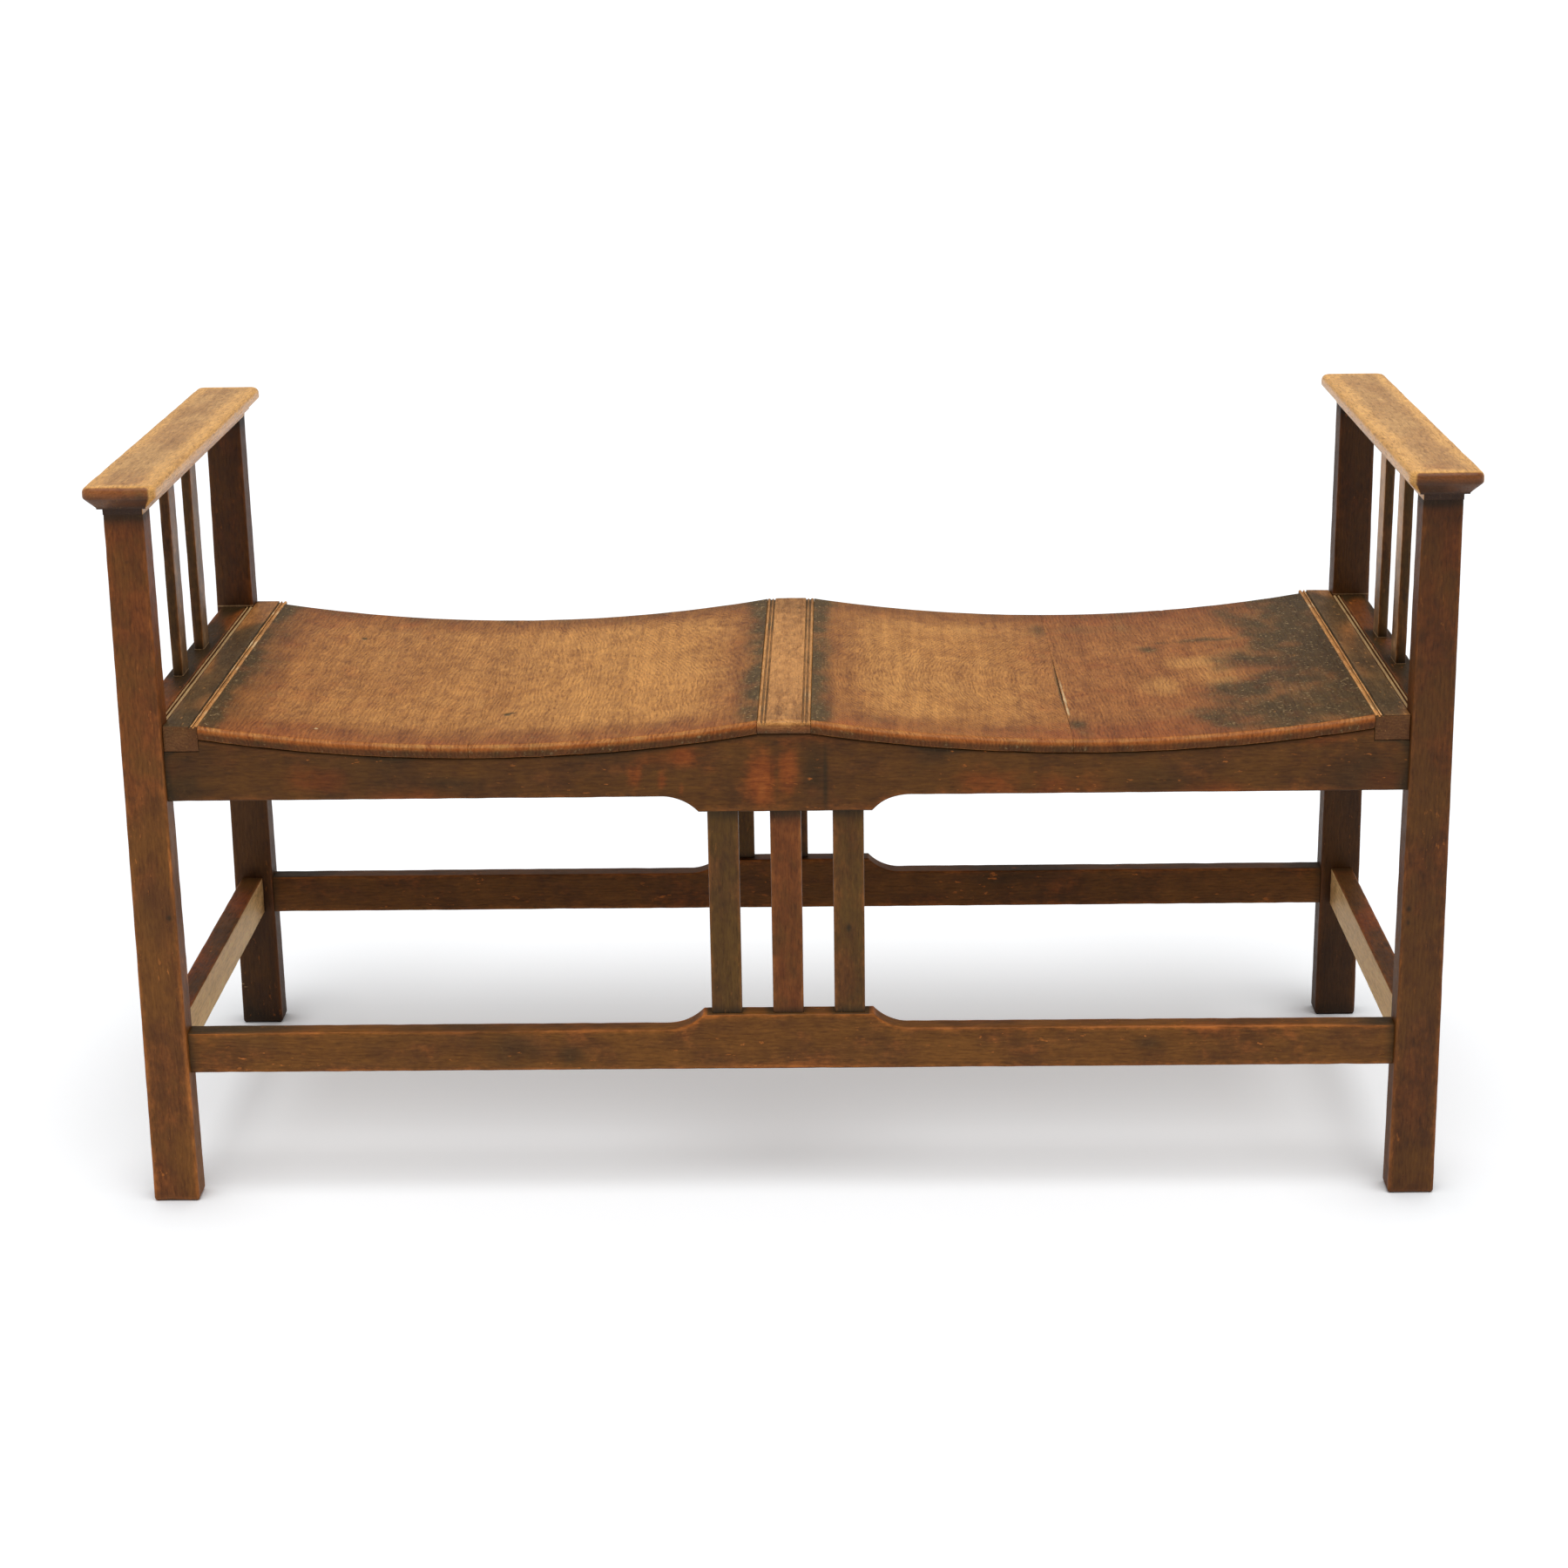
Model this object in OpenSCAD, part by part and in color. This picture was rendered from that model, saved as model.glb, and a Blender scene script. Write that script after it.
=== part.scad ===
// Window bench in oak for two people, with a dished seat and moulded arm caps
// The front looks along -Y, +Z is up, and the origin is on the floor under the middle

/* [Overall] */
// Width across the outer faces of the feet
bench_w = 1186; // [1000:1:1400]
// Depth from the front faces of the front posts to the rear faces of the rear posts
bench_d = 462; // [400:1:560]
// Height of the seat strips above the floor
seat_z = 459.5; // [430:0.5:500]
// Height of the posts up to the arm caps
post_h = 652; // [600:1:720]

/* [Posts] */
// Width of a post at the floor, seen from the front
post_foot_w = 42.5; // [40:0.5:52]
// Width of a post under its arm cap, all of the taper being on the outer face
post_top_w = 35; // [33:0.5:39]
// Depth of a post from front to rear
post_d = 28; // [27:0.5:38]
// Radius of the four long arrises of a post
post_arris = 2; // [0.5:0.5:3]
// Radius round the edges of the foot
foot_round = 3; // [1:0.5:4]

/* [Arm caps] */
// Height of the moulded board of a cap above its neck
cap_board_h = 21.3; // [19:0.1:28]
// Height of the neck, which follows the posts
cap_neck_h = 5.7; // [4:0.1:10]
// Overhang of the nose beyond the posts, the same on all four sides
cap_overhang = 14.5; // [12:0.5:20]
// Height of the nose above the bevel
cap_nose_h = 10.4; // [8:0.1:13]
// Radius of the upper edge of the nose
cap_nose_r = 4; // [2:0.5:5]
// Width of the flat ledge between the neck and the bevel
cap_ledge_w = 4.2; // [2:0.1:6]
// Height of the small square edge at the foot of the bevel
cap_ledge_h = 1.4; // [0.5:0.1:2.5]
// Radius of the corners of a cap, seen from above
cap_corner_r = 4; // [2:0.5:8]

/* [Arm slats] */
// Width of an arm slat
arm_slat_w = 28; // [20:0.5:40]
// Thickness of an arm slat
arm_slat_t = 9.5; // [8:0.5:12]
// Clear space between the two slats of one arm
arm_slat_space = 67.5; // [40:0.5:110]
// Distance from the inner face of the posts to the inner face of the arm slats
arm_slat_in = 16; // [12:0.5:18]

/* [Seat rails] */
// Height of the rails below the top of the seat strips
rail_h = 70; // [60:0.5:90]
// Thickness of the front and rear rails
rail_t = 22; // [20:0.5:22]
// Distance that the long rails stand back from the faces of the posts
rail_set = 4.5; // [2:0.5:5]
// Thickness of the end rails, which carry the arm slats
end_rail_t = 32.5; // [31:0.5:34]
// Drop of the deeper middle of the long rails
lobe_h = 14.5; // [8:0.5:20]
// Length along the rail of the cove at each end of the deeper middle
cove_run = 32.5; // [22:0.5:45]
// Flat left between the cove and the nearest slat
lobe_flat = 7.5; // [3:0.5:15]

/* [Stretchers] */
// Height of the lower edges of the stretchers above the floor
stretcher_z = 126; // [90:1:160]
// Height of a stretcher
stretcher_h = 39.5; // [32:0.5:50]
// Thickness of the front and rear stretchers
stretcher_t = 20; // [16:0.5:20]
// Distance that the long stretchers stand back from the faces of the posts
stretcher_set = 7; // [3:0.5:7]
// Thickness of the end stretchers
end_stretcher_t = 22; // [18:0.5:23]
// Distance from the inner face of the posts to the inner face of the end stretchers
end_stretcher_in = 10.5; // [8:0.5:11]

/* [Middle slats] */
// Width of a slat between the rail and the stretcher
slat_w = 28; // [20:0.5:36]
// Thickness of such a slat
slat_t = 10; // [8:0.5:11]
// Clear space between two such slats
slat_space = 28; // [18:0.5:40]

/* [Seat panels] */
// Depth of the dish in each seat panel
seat_dip = 20; // [12:0.5:24]
// Thickness of the seat boards
board_t = 12; // [11:0.5:16]
// Distance that the boards stand proud of the front rail
board_proud = 2; // [0:0.5:3]
// Distance that the boards stop short of the rear rail's outer face
board_short = 10; // [0:0.5:12]
// Radius of the rounded upper edge along the front and the rear
board_nose_r = 5; // [3:0.5:6]
// Radius of the lower edge along the front and the rear
board_under_r = 1.5; // [0.5:0.5:3]
// Open joint between neighbouring boards
board_gap = 0.3; // [0.1:0.1:0.6]
// Joints of the left panel, as shares of its width from the centre strip outward
left_joint_shares = [0, 0.247, 0.517, 1];
// Joints of the right panel, as shares of its width from the centre strip outward
right_joint_shares = [0, 0.467, 1];

/* [Seat strips] */
// Width of the centre strip
centre_strip_w = 47.6; // [40:0.2:60]
// Width of an end strip, between the panel and the posts
end_strip_w = 31.5; // [26:0.5:40]
// Thickness of an end strip, which is let into the rails
end_strip_t = 23.5; // [20:0.5:28]
// Rise of the crowned top of the centre strip
strip_crown = 0.8; // [0.4:0.1:1.5]
// Radius of the outer bead along a strip
bead_r = 1.8; // [1.2:0.1:2.4]
// Radius of the inner bead along a strip
small_bead_r = 1.2; // [0.8:0.1:1.6]
// Width of the quirk beside each bead
quirk_w = 0.9; // [0.5:0.1:1.4]

/* [Joints] */
// Thickness of the tenons on rails and stretchers
tenon_t = 8; // [6:0.5:8.5]
// Length of the tenons of the long rails and stretchers
long_tenon_l = 19; // [12:0.5:19.5]
// Length of the tenons of the end rails and stretchers
end_tenon_l = 18; // [12:0.5:20]
// Distance from the outer face of an end rail or stretcher to its tenon
end_tenon_out = 2.5; // [2:0.5:3]
// Shoulder above and below the tenons
tenon_shoulder = 6; // [4:0.5:9]
// Length of the stub tenons on slats
slat_tenon_l = 10; // [6:0.5:11]
// Shoulder round the stub tenons on slats
slat_shoulder = 1.5; // [1:0.1:2.5]
// Width of the tenon on top of a post
cap_tenon_w = 14; // [10:0.5:18]
// Depth of the tenon on top of a post
cap_tenon_d = 16; // [10:0.5:18]
// Length of the tenon on top of a post
cap_tenon_l = 14; // [10:0.5:15]
// Clearance round a tenon in its mortise
joint_gap = 0.2; // [0.1:0.05:0.4]

/* [Under the seat] */
// Width of the cross bearer under the centre strip
bearer_w = 64; // [52:1:90]
// Height of the cross bearer
bearer_h = 40; // [28:1:50]
// Thickness of the stub tenons of the cross bearer
bearer_tenon_t = 12; // [8:0.5:16]
// Length of the stub tenons of the cross bearer
bearer_tenon_l = 10; // [6:0.5:12]
// Length of a glue block
block_l = 60; // [40:1:90]
// Side of a glue block
block_w = 22; // [18:0.5:28]
// Places of the glue blocks, as shares of the panel width from the centre strip outward
block_shares = [0.25, 0.75];
// Diameter of a seat screw's shank
screw_d = 4; // [3:0.5:5]
// Diameter of a seat screw's head
screw_head_d = 8; // [6:0.5:10]
// Depth that a seat screw goes into a board
screw_bite = 8; // [6:0.5:10]

/* [Hidden] */

// Overrun that carries every cut past the face it opens
over = 2;
// Gap between the dished undersides and what carries them
bed_gap = 0.2;
// Facets on small rounds and on the large circles of the dish
small_fn = 32;
dish_fn = 1440;
$fn = small_fn;

inner_x = bench_w / 2 - post_foot_w;
half_d = bench_d / 2;
post_taper = atan((post_foot_w - post_top_w) / post_h);
post_y = half_d - post_d;

rail_z = seat_z - rail_h;
rail_y = half_d - rail_set;
strip_x = inner_x - end_strip_w;
notch_z = seat_z - end_strip_t;
bed_z = seat_z - board_t;
end_rail_out = inner_x + end_rail_t;

stretcher_y = half_d - stretcher_set;
stretcher_top = stretcher_z + stretcher_h;
end_stretcher_out = inner_x + end_stretcher_in + end_stretcher_t;

slat_pitch = slat_w + slat_space;
slat_y = rail_y - rail_t / 2;
lobe_x = slat_pitch + slat_w / 2 + lobe_flat;
cove_r = (cove_run * cove_run + lobe_h * lobe_h) / (2 * lobe_h);

centre_x = centre_strip_w / 2;
panel_w = strip_x - centre_x;
dish_x = centre_x + panel_w / 2;
dish_r = (panel_w * panel_w / 4 + seat_dip * seat_dip) / (2 * seat_dip);
dish_z = seat_z - seat_dip + dish_r;
dish_angle = 2 * asin((panel_w / 2 + over) / dish_r);
seat_y = rail_y + board_proud;
seat_rear_y = rail_y - board_short;
bead_row_w = 2 * bead_r + quirk_w + 2 * small_bead_r + quirk_w;
crown_r = (pow(centre_x - bead_row_w, 2) + strip_crown * strip_crown) / (2 * strip_crown);

arm_slat_x = inner_x + arm_slat_in + arm_slat_t / 2;
arm_slat_y = (arm_slat_space + arm_slat_w) / 2;

block_y = rail_y - rail_t - block_w / 2;

post_color = [0.42, 0.25, 0.15];
cap_color = [0.62, 0.45, 0.27];
rail_color = [0.33, 0.21, 0.13];
slat_color = [0.29, 0.18, 0.11];
seat_color = [0.58, 0.38, 0.22];
strip_color = [0.50, 0.33, 0.19];
block_color = [0.68, 0.54, 0.36];
screw_color = [0.55, 0.55, 0.57];

// Puts a piece drawn at the right rear into one of the four corners
module corner(side, end) {
    mirror([side < 0 ? 1 : 0, 0, 0]) mirror([0, end < 0 ? 1 : 0, 0]) children();
}

// Draws an outline that lies in X and Z, carried along Y between two places
module along_y(from_y, to_y) {
    translate([0, to_y, 0]) rotate([90, 0, 0]) linear_extrude(to_y - from_y) children();
}

// Draws an outline that lies in Y and Z, carried along X between two places
module along_x(from_x, to_x) {
    translate([from_x, 0, 0]) rotate([90, 0, 90]) linear_extrude(to_x - from_x) children();
}

// Box between two corners
module box(low, high) {
    translate(low) cube(high - low);
}

// Rectangle with its own radius for the low pair of corners and for the high pair
module eased_rect(low, high, low_r, high_r) {
    union() {
        translate([low[0], low[1] + low_r]) square([high[0] - low[0], high[1] - low[1] - low_r - high_r]);
        translate([low[0] + low_r, low[1]]) square([high[0] - low[0] - 2 * low_r, low_r + high_r]);
        translate([low[0] + high_r, high[1] - high_r]) square([high[0] - low[0] - 2 * high_r, high_r]);
        for (x = [low[0] + low_r, high[0] - low_r]) translate([x, low[1] + low_r]) circle(low_r);
        for (x = [low[0] + high_r, high[0] - high_r]) translate([x, high[1] - high_r]) circle(high_r);
    }
}

// Post with plumb inner face, leaning outer face and eased arrises
module post_body() {
    top = post_h + over;
    wide = 2 * post_foot_w;
    intersection() {
        linear_extrude(post_h) turned_rect(inner_x, inner_x + wide, post_arris);
        translate([inner_x + post_foot_w, 0, 0]) rotate([0, -post_taper, 0]) translate([0, 0, -over])
            linear_extrude(top + 2 * over) turned_rect(-wide, 0, post_arris);
        along_y(post_y - over, half_d + over)
            foot_outline(inner_x, inner_x + post_foot_w);
        along_x(inner_x - over, inner_x + wide)
            foot_outline(post_y, half_d);
    }
}

// Plan of a post with all four corners eased
module turned_rect(from_x, to_x, r) {
    eased_rect([from_x, post_y], [to_x, half_d], r, r);
}

// Upright outline whose two low corners are rounded for the foot
module foot_outline(from, to) {
    union() {
        translate([from, foot_round]) square([to - from, post_h]);
        translate([from + foot_round, 0]) square([to - from - 2 * foot_round, foot_round + over]);
        for (x = [from + foot_round, to - foot_round]) translate([x, foot_round]) circle(foot_round);
    }
}

// Tenons that enter a post at the right rear, grown by a clearance for the mortises
module long_rail_tenon(gap) {
    tenon_y = rail_y - rail_t / 2;
    box([inner_x - over, tenon_y - tenon_t / 2 - gap, rail_z + tenon_shoulder - gap],
        [inner_x + long_tenon_l + gap, tenon_y + tenon_t / 2 + gap, notch_z - tenon_shoulder + gap]);
}

module long_stretcher_tenon(gap) {
    tenon_y = stretcher_y - stretcher_t / 2;
    box([inner_x - over, tenon_y - tenon_t / 2 - gap, stretcher_z + tenon_shoulder - gap],
        [inner_x + long_tenon_l + gap, tenon_y + tenon_t / 2 + gap, stretcher_top - tenon_shoulder + gap]);
}

module end_rail_tenon(gap) {
    out = end_rail_out - end_tenon_out;
    box([out - tenon_t - gap, post_y - over, rail_z + tenon_shoulder - gap],
        [out + gap, post_y + end_tenon_l + gap, seat_z - 2 * tenon_shoulder + gap]);
}

module end_stretcher_tenon(gap) {
    out = end_stretcher_out - end_tenon_out;
    box([out - tenon_t - gap, post_y - over, stretcher_z + tenon_shoulder - gap],
        [out + gap, post_y + end_tenon_l + gap, stretcher_top - tenon_shoulder + gap]);
}

module cap_tenon(gap) {
    mid_x = inner_x + post_top_w / 2;
    mid_y = half_d - post_d / 2;
    box([mid_x - cap_tenon_w / 2 - gap, mid_y - cap_tenon_d / 2 - gap, post_h - over],
        [mid_x + cap_tenon_w / 2 + gap, mid_y + cap_tenon_d / 2 + gap, post_h + cap_tenon_l + gap]);
}

module post(side, end) {
    color(post_color) corner(side, end) union() {
        difference() {
            post_body();
            long_rail_tenon(joint_gap);
            long_stretcher_tenon(joint_gap);
            end_rail_tenon(joint_gap);
            end_stretcher_tenon(joint_gap);
        }
        cap_tenon(0);
    }
}

// Section of the moulded board: ledge, bevel and rounded nose on both sides
module cap_outline(from, to) {
    low = post_h + cap_neck_h;
    top = low + cap_board_h;
    nose_z = top - cap_nose_h;
    far = cap_overhang;
    union() {
        polygon([
            [from - cap_ledge_w, low], [to + cap_ledge_w, low],
            [to + cap_ledge_w, low + cap_ledge_h], [to + far, nose_z],
            [to + far, top - cap_nose_r], [to + far - cap_nose_r, top - cap_nose_r],
            [to + far - cap_nose_r, top], [from - far + cap_nose_r, top],
            [from - far + cap_nose_r, top - cap_nose_r], [from - far, top - cap_nose_r],
            [from - far, nose_z], [from - cap_ledge_w, low + cap_ledge_h]
        ]);
        for (x = [from - far + cap_nose_r, to + far - cap_nose_r])
            translate([x, top - cap_nose_r]) circle(cap_nose_r);
    }
}

// Arm cap: a neck that follows the posts, and a board moulded on all four sides
module arm_cap(side) {
    out_x = inner_x + post_top_w;
    far = cap_overhang + over;
    color(cap_color) corner(side, 1) difference() {
        union() {
            box([inner_x, -half_d, post_h], [out_x, half_d, post_h + cap_neck_h + cap_ledge_h]);
            intersection() {
                along_y(-half_d - far, half_d + far) cap_outline(inner_x, out_x);
                along_x(inner_x - far, out_x + far) cap_outline(-half_d, half_d);
                translate([0, 0, post_h]) linear_extrude(cap_neck_h + cap_board_h + over)
                    eased_rect([inner_x - cap_overhang, -half_d - cap_overhang],
                               [out_x + cap_overhang, half_d + cap_overhang], cap_corner_r, cap_corner_r);
            }
        }
        for (end = [-1, 1]) corner(1, end) cap_tenon(joint_gap);
        for (end = [-1, 1]) arm_slat_tenon(end, post_h, joint_gap);
    }
}

// Stub tenon of an arm slat, centred on the given height
module arm_slat_tenon(end, z, gap) {
    half_w = arm_slat_w / 2 - slat_shoulder + gap;
    half_t = arm_slat_t / 2 - slat_shoulder + gap;
    mid = end * arm_slat_y;
    box([arm_slat_x - half_t, mid - half_w, z - slat_tenon_l - gap],
        [arm_slat_x + half_t, mid + half_w, z + slat_tenon_l + gap]);
}

// Arm slat that stands on the end rail and enters the cap
module arm_slat(side, end) {
    mid = end * arm_slat_y;
    color(slat_color) corner(side, 1) union() {
        box([arm_slat_x - arm_slat_t / 2, mid - arm_slat_w / 2, seat_z],
            [arm_slat_x + arm_slat_t / 2, mid + arm_slat_w / 2, post_h]);
        arm_slat_tenon(end, seat_z, 0);
        arm_slat_tenon(end, post_h, 0);
    }
}

// Cove cut away beyond the deeper middle, below a rail or, turned over, above a stretcher
module cove_cut(edge_z, way) {
    far_x = inner_x + long_tenon_l + over;
    cove_x = lobe_x + cove_run;
    for (s = [-1, 1]) {
        translate([s * cove_x, edge_z + way * cove_r]) circle(cove_r, $fn = 4 * small_fn);
        translate([s > 0 ? cove_x : -far_x, way > 0 ? edge_z : edge_z - lobe_h - over])
            square([far_x - cove_x, lobe_h + over]);
    }
}

// Circle of a dish, grown outward from the seat surface
module dish_circle(side, grow) {
    translate([side * dish_x, dish_z]) circle(dish_r + grow, $fn = dish_fn);
}

// Long rail: its top follows the dished seat, its middle is deeper and ends in coves
module long_rail_outline() {
    difference() {
        translate([-inner_x, rail_z - lobe_h]) square([2 * inner_x, bed_z - rail_z + lobe_h]);
        for (side = [-1, 1]) {
            intersection() {
                dish_circle(side, board_t + bed_gap);
                translate([side > 0 ? centre_x : -strip_x, rail_z]) square([panel_w, rail_h]);
            }
            translate([side > 0 ? strip_x : -inner_x - over, notch_z])
                square([end_strip_w + over, end_strip_t]);
        }
        cove_cut(rail_z, -1);
    }
}

module long_rail(end) {
    color(rail_color) corner(1, end) difference() {
        union() {
            along_y(rail_y - rail_t, rail_y) long_rail_outline();
            for (side = [-1, 1]) corner(side, 1) long_rail_tenon(0);
        }
        for (i = [-1, 0, 1]) middle_slat_tenon(i, rail_z - lobe_h, joint_gap);
        bearer_tenon(joint_gap);
    }
}

// End rail between the posts, beaded along its inner upper edge
module end_rail(side) {
    color(rail_color) corner(side, 1) difference() {
        union() {
            along_y(-post_y, post_y) beaded_outline(inner_x, end_rail_out, rail_z);
            for (end = [-1, 1]) corner(1, end) end_rail_tenon(0);
        }
        for (end = [-1, 1]) arm_slat_tenon(end, seat_z, joint_gap);
    }
}

// Stretcher with a raised middle that mirrors the rail above it
module long_stretcher(end) {
    color(rail_color) corner(1, end) difference() {
        union() {
            along_y(stretcher_y - stretcher_t, stretcher_y) difference() {
                translate([-inner_x, stretcher_z]) square([2 * inner_x, stretcher_h + lobe_h]);
                cove_cut(stretcher_top, 1);
            }
            for (side = [-1, 1]) corner(side, 1) long_stretcher_tenon(0);
        }
        for (i = [-1, 0, 1]) middle_slat_tenon(i, stretcher_top + lobe_h, joint_gap);
    }
}

module end_stretcher(side) {
    color(rail_color) corner(side, 1) union() {
        box([end_stretcher_out - end_stretcher_t, -post_y, stretcher_z],
            [end_stretcher_out, post_y, stretcher_top]);
        for (end = [-1, 1]) corner(1, end) end_stretcher_tenon(0);
    }
}

// Stub tenon of a middle slat, centred on the given height
module middle_slat_tenon(i, z, gap) {
    half_w = slat_w / 2 - slat_shoulder + gap;
    half_t = slat_t / 2 - slat_shoulder + gap;
    mid = i * slat_pitch;
    box([mid - half_w, slat_y - half_t, z - slat_tenon_l - gap],
        [mid + half_w, slat_y + half_t, z + slat_tenon_l + gap]);
}

// Slat between the rail and the stretcher
module middle_slat(i, end) {
    low = stretcher_top + lobe_h;
    high = rail_z - lobe_h;
    mid = i * slat_pitch;
    color(slat_color) corner(1, end) union() {
        box([mid - slat_w / 2, slat_y - slat_t / 2, low], [mid + slat_w / 2, slat_y + slat_t / 2, high]);
        middle_slat_tenon(i, low, 0);
        middle_slat_tenon(i, high, 0);
    }
}

// Seat board: a slice of a dished panel with rounded front and rear edges
module seat_board(side, from_share, to_share) {
    from_x = centre_x + panel_w * from_share + board_gap / 2;
    to_x = centre_x + panel_w * to_share - board_gap / 2;
    color(seat_color) corner(side, 1) difference() {
        intersection() {
            translate([dish_x, 0, dish_z]) rotate([90, 0, 0]) rotate([0, 0, -90 - dish_angle / 2])
                rotate_extrude(angle = dish_angle, $fn = dish_fn)
                    board_section();
            box([from_x, -seat_y - over, seat_z - seat_dip - 2 * board_t],
                [to_x, seat_y + over, seat_z + board_t]);
        }
        screws(joint_gap);
    }
}

// Section of a panel from front to rear, standing at the radius of the dish
module board_section() {
    rotate([0, 0, -90])
        eased_rect([-seat_y, dish_r], [seat_rear_y, dish_r + board_t], board_nose_r, board_under_r);
}

// Row of two beads and their quirks along the edge at x = 0, with the flat to the right
module bead_row(z) {
    second = 2 * bead_r + quirk_w + small_bead_r;
    translate([bead_r, z - bead_r]) circle(bead_r);
    translate([second, z - small_bead_r]) circle(small_bead_r);
}

// Section of a piece with beads along its inner upper edge
module beaded_outline(from_x, to_x, low_z) {
    union() {
        translate([from_x, low_z]) square([to_x - from_x, seat_z - bead_r - low_z]);
        translate([from_x + bead_row_w, low_z]) square([to_x - from_x - bead_row_w, seat_z - low_z]);
        translate([from_x, 0]) bead_row(seat_z);
    }
}

// Strip between a seat panel and the posts, let into the long rails
module end_strip(side) {
    color(strip_color) corner(side, 1)
        along_y(-rail_y, rail_y) beaded_outline(strip_x + board_gap / 2, inner_x, notch_z);
}

// Strip between the two panels: crowned, with beads along both edges and rounded ends
module centre_strip() {
    flat = centre_x - bead_row_w;
    color(strip_color) intersection() {
        along_y(-seat_y - over, seat_y + over) union() {
            translate([-centre_x, bed_z]) square([centre_strip_w, board_t - bead_r]);
            intersection() {
                translate([-flat, bed_z]) square([2 * flat, board_t + strip_crown]);
                translate([0, seat_z + strip_crown - crown_r]) circle(crown_r, $fn = dish_fn);
            }
            for (side = [0, 1]) mirror([side, 0]) translate([-centre_x, 0]) bead_row(seat_z);
        }
        along_x(-centre_x - over, centre_x + over)
            eased_rect([-seat_y, bed_z], [seat_rear_y, seat_z + strip_crown], board_under_r, board_nose_r);
    }
}

// Stub tenon of the cross bearer in a long rail
module bearer_tenon(gap) {
    high = bed_z - 2 * tenon_shoulder;
    low = bed_z - bearer_h + tenon_shoulder;
    box([-bearer_tenon_t / 2 - gap, rail_y - rail_t - over, low - gap],
        [bearer_tenon_t / 2 + gap, rail_y - rail_t + bearer_tenon_l + gap, high + gap]);
}

// Bearer from the front rail to the rear rail under the inner edges of both panels
module cross_bearer() {
    span = rail_y - rail_t;
    color(rail_color) union() {
        along_y(-span, span) difference() {
            translate([-bearer_w / 2, bed_z - bearer_h]) square([bearer_w, bearer_h]);
            for (side = [-1, 1]) intersection() {
                dish_circle(side, board_t + bed_gap);
                translate([side > 0 ? centre_x : -strip_x, rail_z]) square([panel_w, rail_h]);
            }
        }
        for (end = [-1, 1]) corner(1, end) bearer_tenon(0);
    }
}

function block_x(share) = centre_x + panel_w * share;
function under_z(x) = dish_z - sqrt(pow(dish_r + board_t, 2) - pow(x - dish_x, 2));

// Blocks glued in the angle between the long rails and the seat boards
module glue_blocks() {
    color(block_color) for (side = [-1, 1], end = [-1, 1], share = block_shares) corner(side, end) {
        mid = block_x(share);
        low = under_z(mid) - block_w;
        difference() {
            along_y(block_y - block_w / 2, block_y + block_w / 2) difference() {
                translate([mid - block_l / 2, low]) square([block_l, 2 * block_w]);
                dish_circle(1, board_t + bed_gap);
            }
            screw_at(mid, joint_gap);
        }
    }
}

// Countersunk screw that goes up through a block into a seat board
module screw_at(x, gap) {
    low = under_z(x) - block_w;
    head_h = (screw_head_d - screw_d) / 2;
    translate([x, block_y, low]) union() {
        cylinder(h = head_h + gap, d1 = screw_head_d + 2 * gap, d2 = screw_d);
        cylinder(h = block_w + screw_bite + gap, d = screw_d + 2 * gap);
        if (gap > 0) translate([0, 0, -over]) cylinder(h = over, d = screw_head_d + 2 * gap);
    }
}

module screws(gap) {
    for (end = [-1, 1], share = block_shares) corner(1, end) screw_at(block_x(share), gap);
}

module seat_screws() {
    color(screw_color) for (side = [-1, 1]) corner(side, 1) screws(0);
}

post(-1, -1);  // front_left_post
post(1, -1);  // front_right_post
post(-1, 1);  // rear_left_post
post(1, 1);  // rear_right_post
arm_cap(-1);  // left_arm_cap
arm_cap(1);  // right_arm_cap
arm_slat(-1, -1);  // left_front_arm_slat
arm_slat(-1, 1);  // left_rear_arm_slat
arm_slat(1, -1);  // right_front_arm_slat
arm_slat(1, 1);  // right_rear_arm_slat
long_rail(-1);  // front_rail
long_rail(1);  // rear_rail
end_rail(-1);  // left_end_rail
end_rail(1);  // right_end_rail
long_stretcher(-1);  // front_stretcher
long_stretcher(1);  // rear_stretcher
end_stretcher(-1);  // left_stretcher
end_stretcher(1);  // right_stretcher
middle_slat(-1, -1);  // front_slat_left
middle_slat(0, -1);  // front_slat_middle
middle_slat(1, -1);  // front_slat_right
middle_slat(-1, 1);  // rear_slat_left
middle_slat(0, 1);  // rear_slat_middle
middle_slat(1, 1);  // rear_slat_right
seat_board(-1, left_joint_shares[0], left_joint_shares[1]);  // left_seat_board_inner
seat_board(-1, left_joint_shares[1], left_joint_shares[2]);  // left_seat_board_middle
seat_board(-1, left_joint_shares[2], left_joint_shares[3]);  // left_seat_board_outer
seat_board(1, right_joint_shares[0], right_joint_shares[1]);  // right_seat_board_inner
seat_board(1, right_joint_shares[1], right_joint_shares[2]);  // right_seat_board_outer
centre_strip();
end_strip(-1);  // left_end_strip
end_strip(1);  // right_end_strip
cross_bearer();
glue_blocks();
seat_screws();
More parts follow.
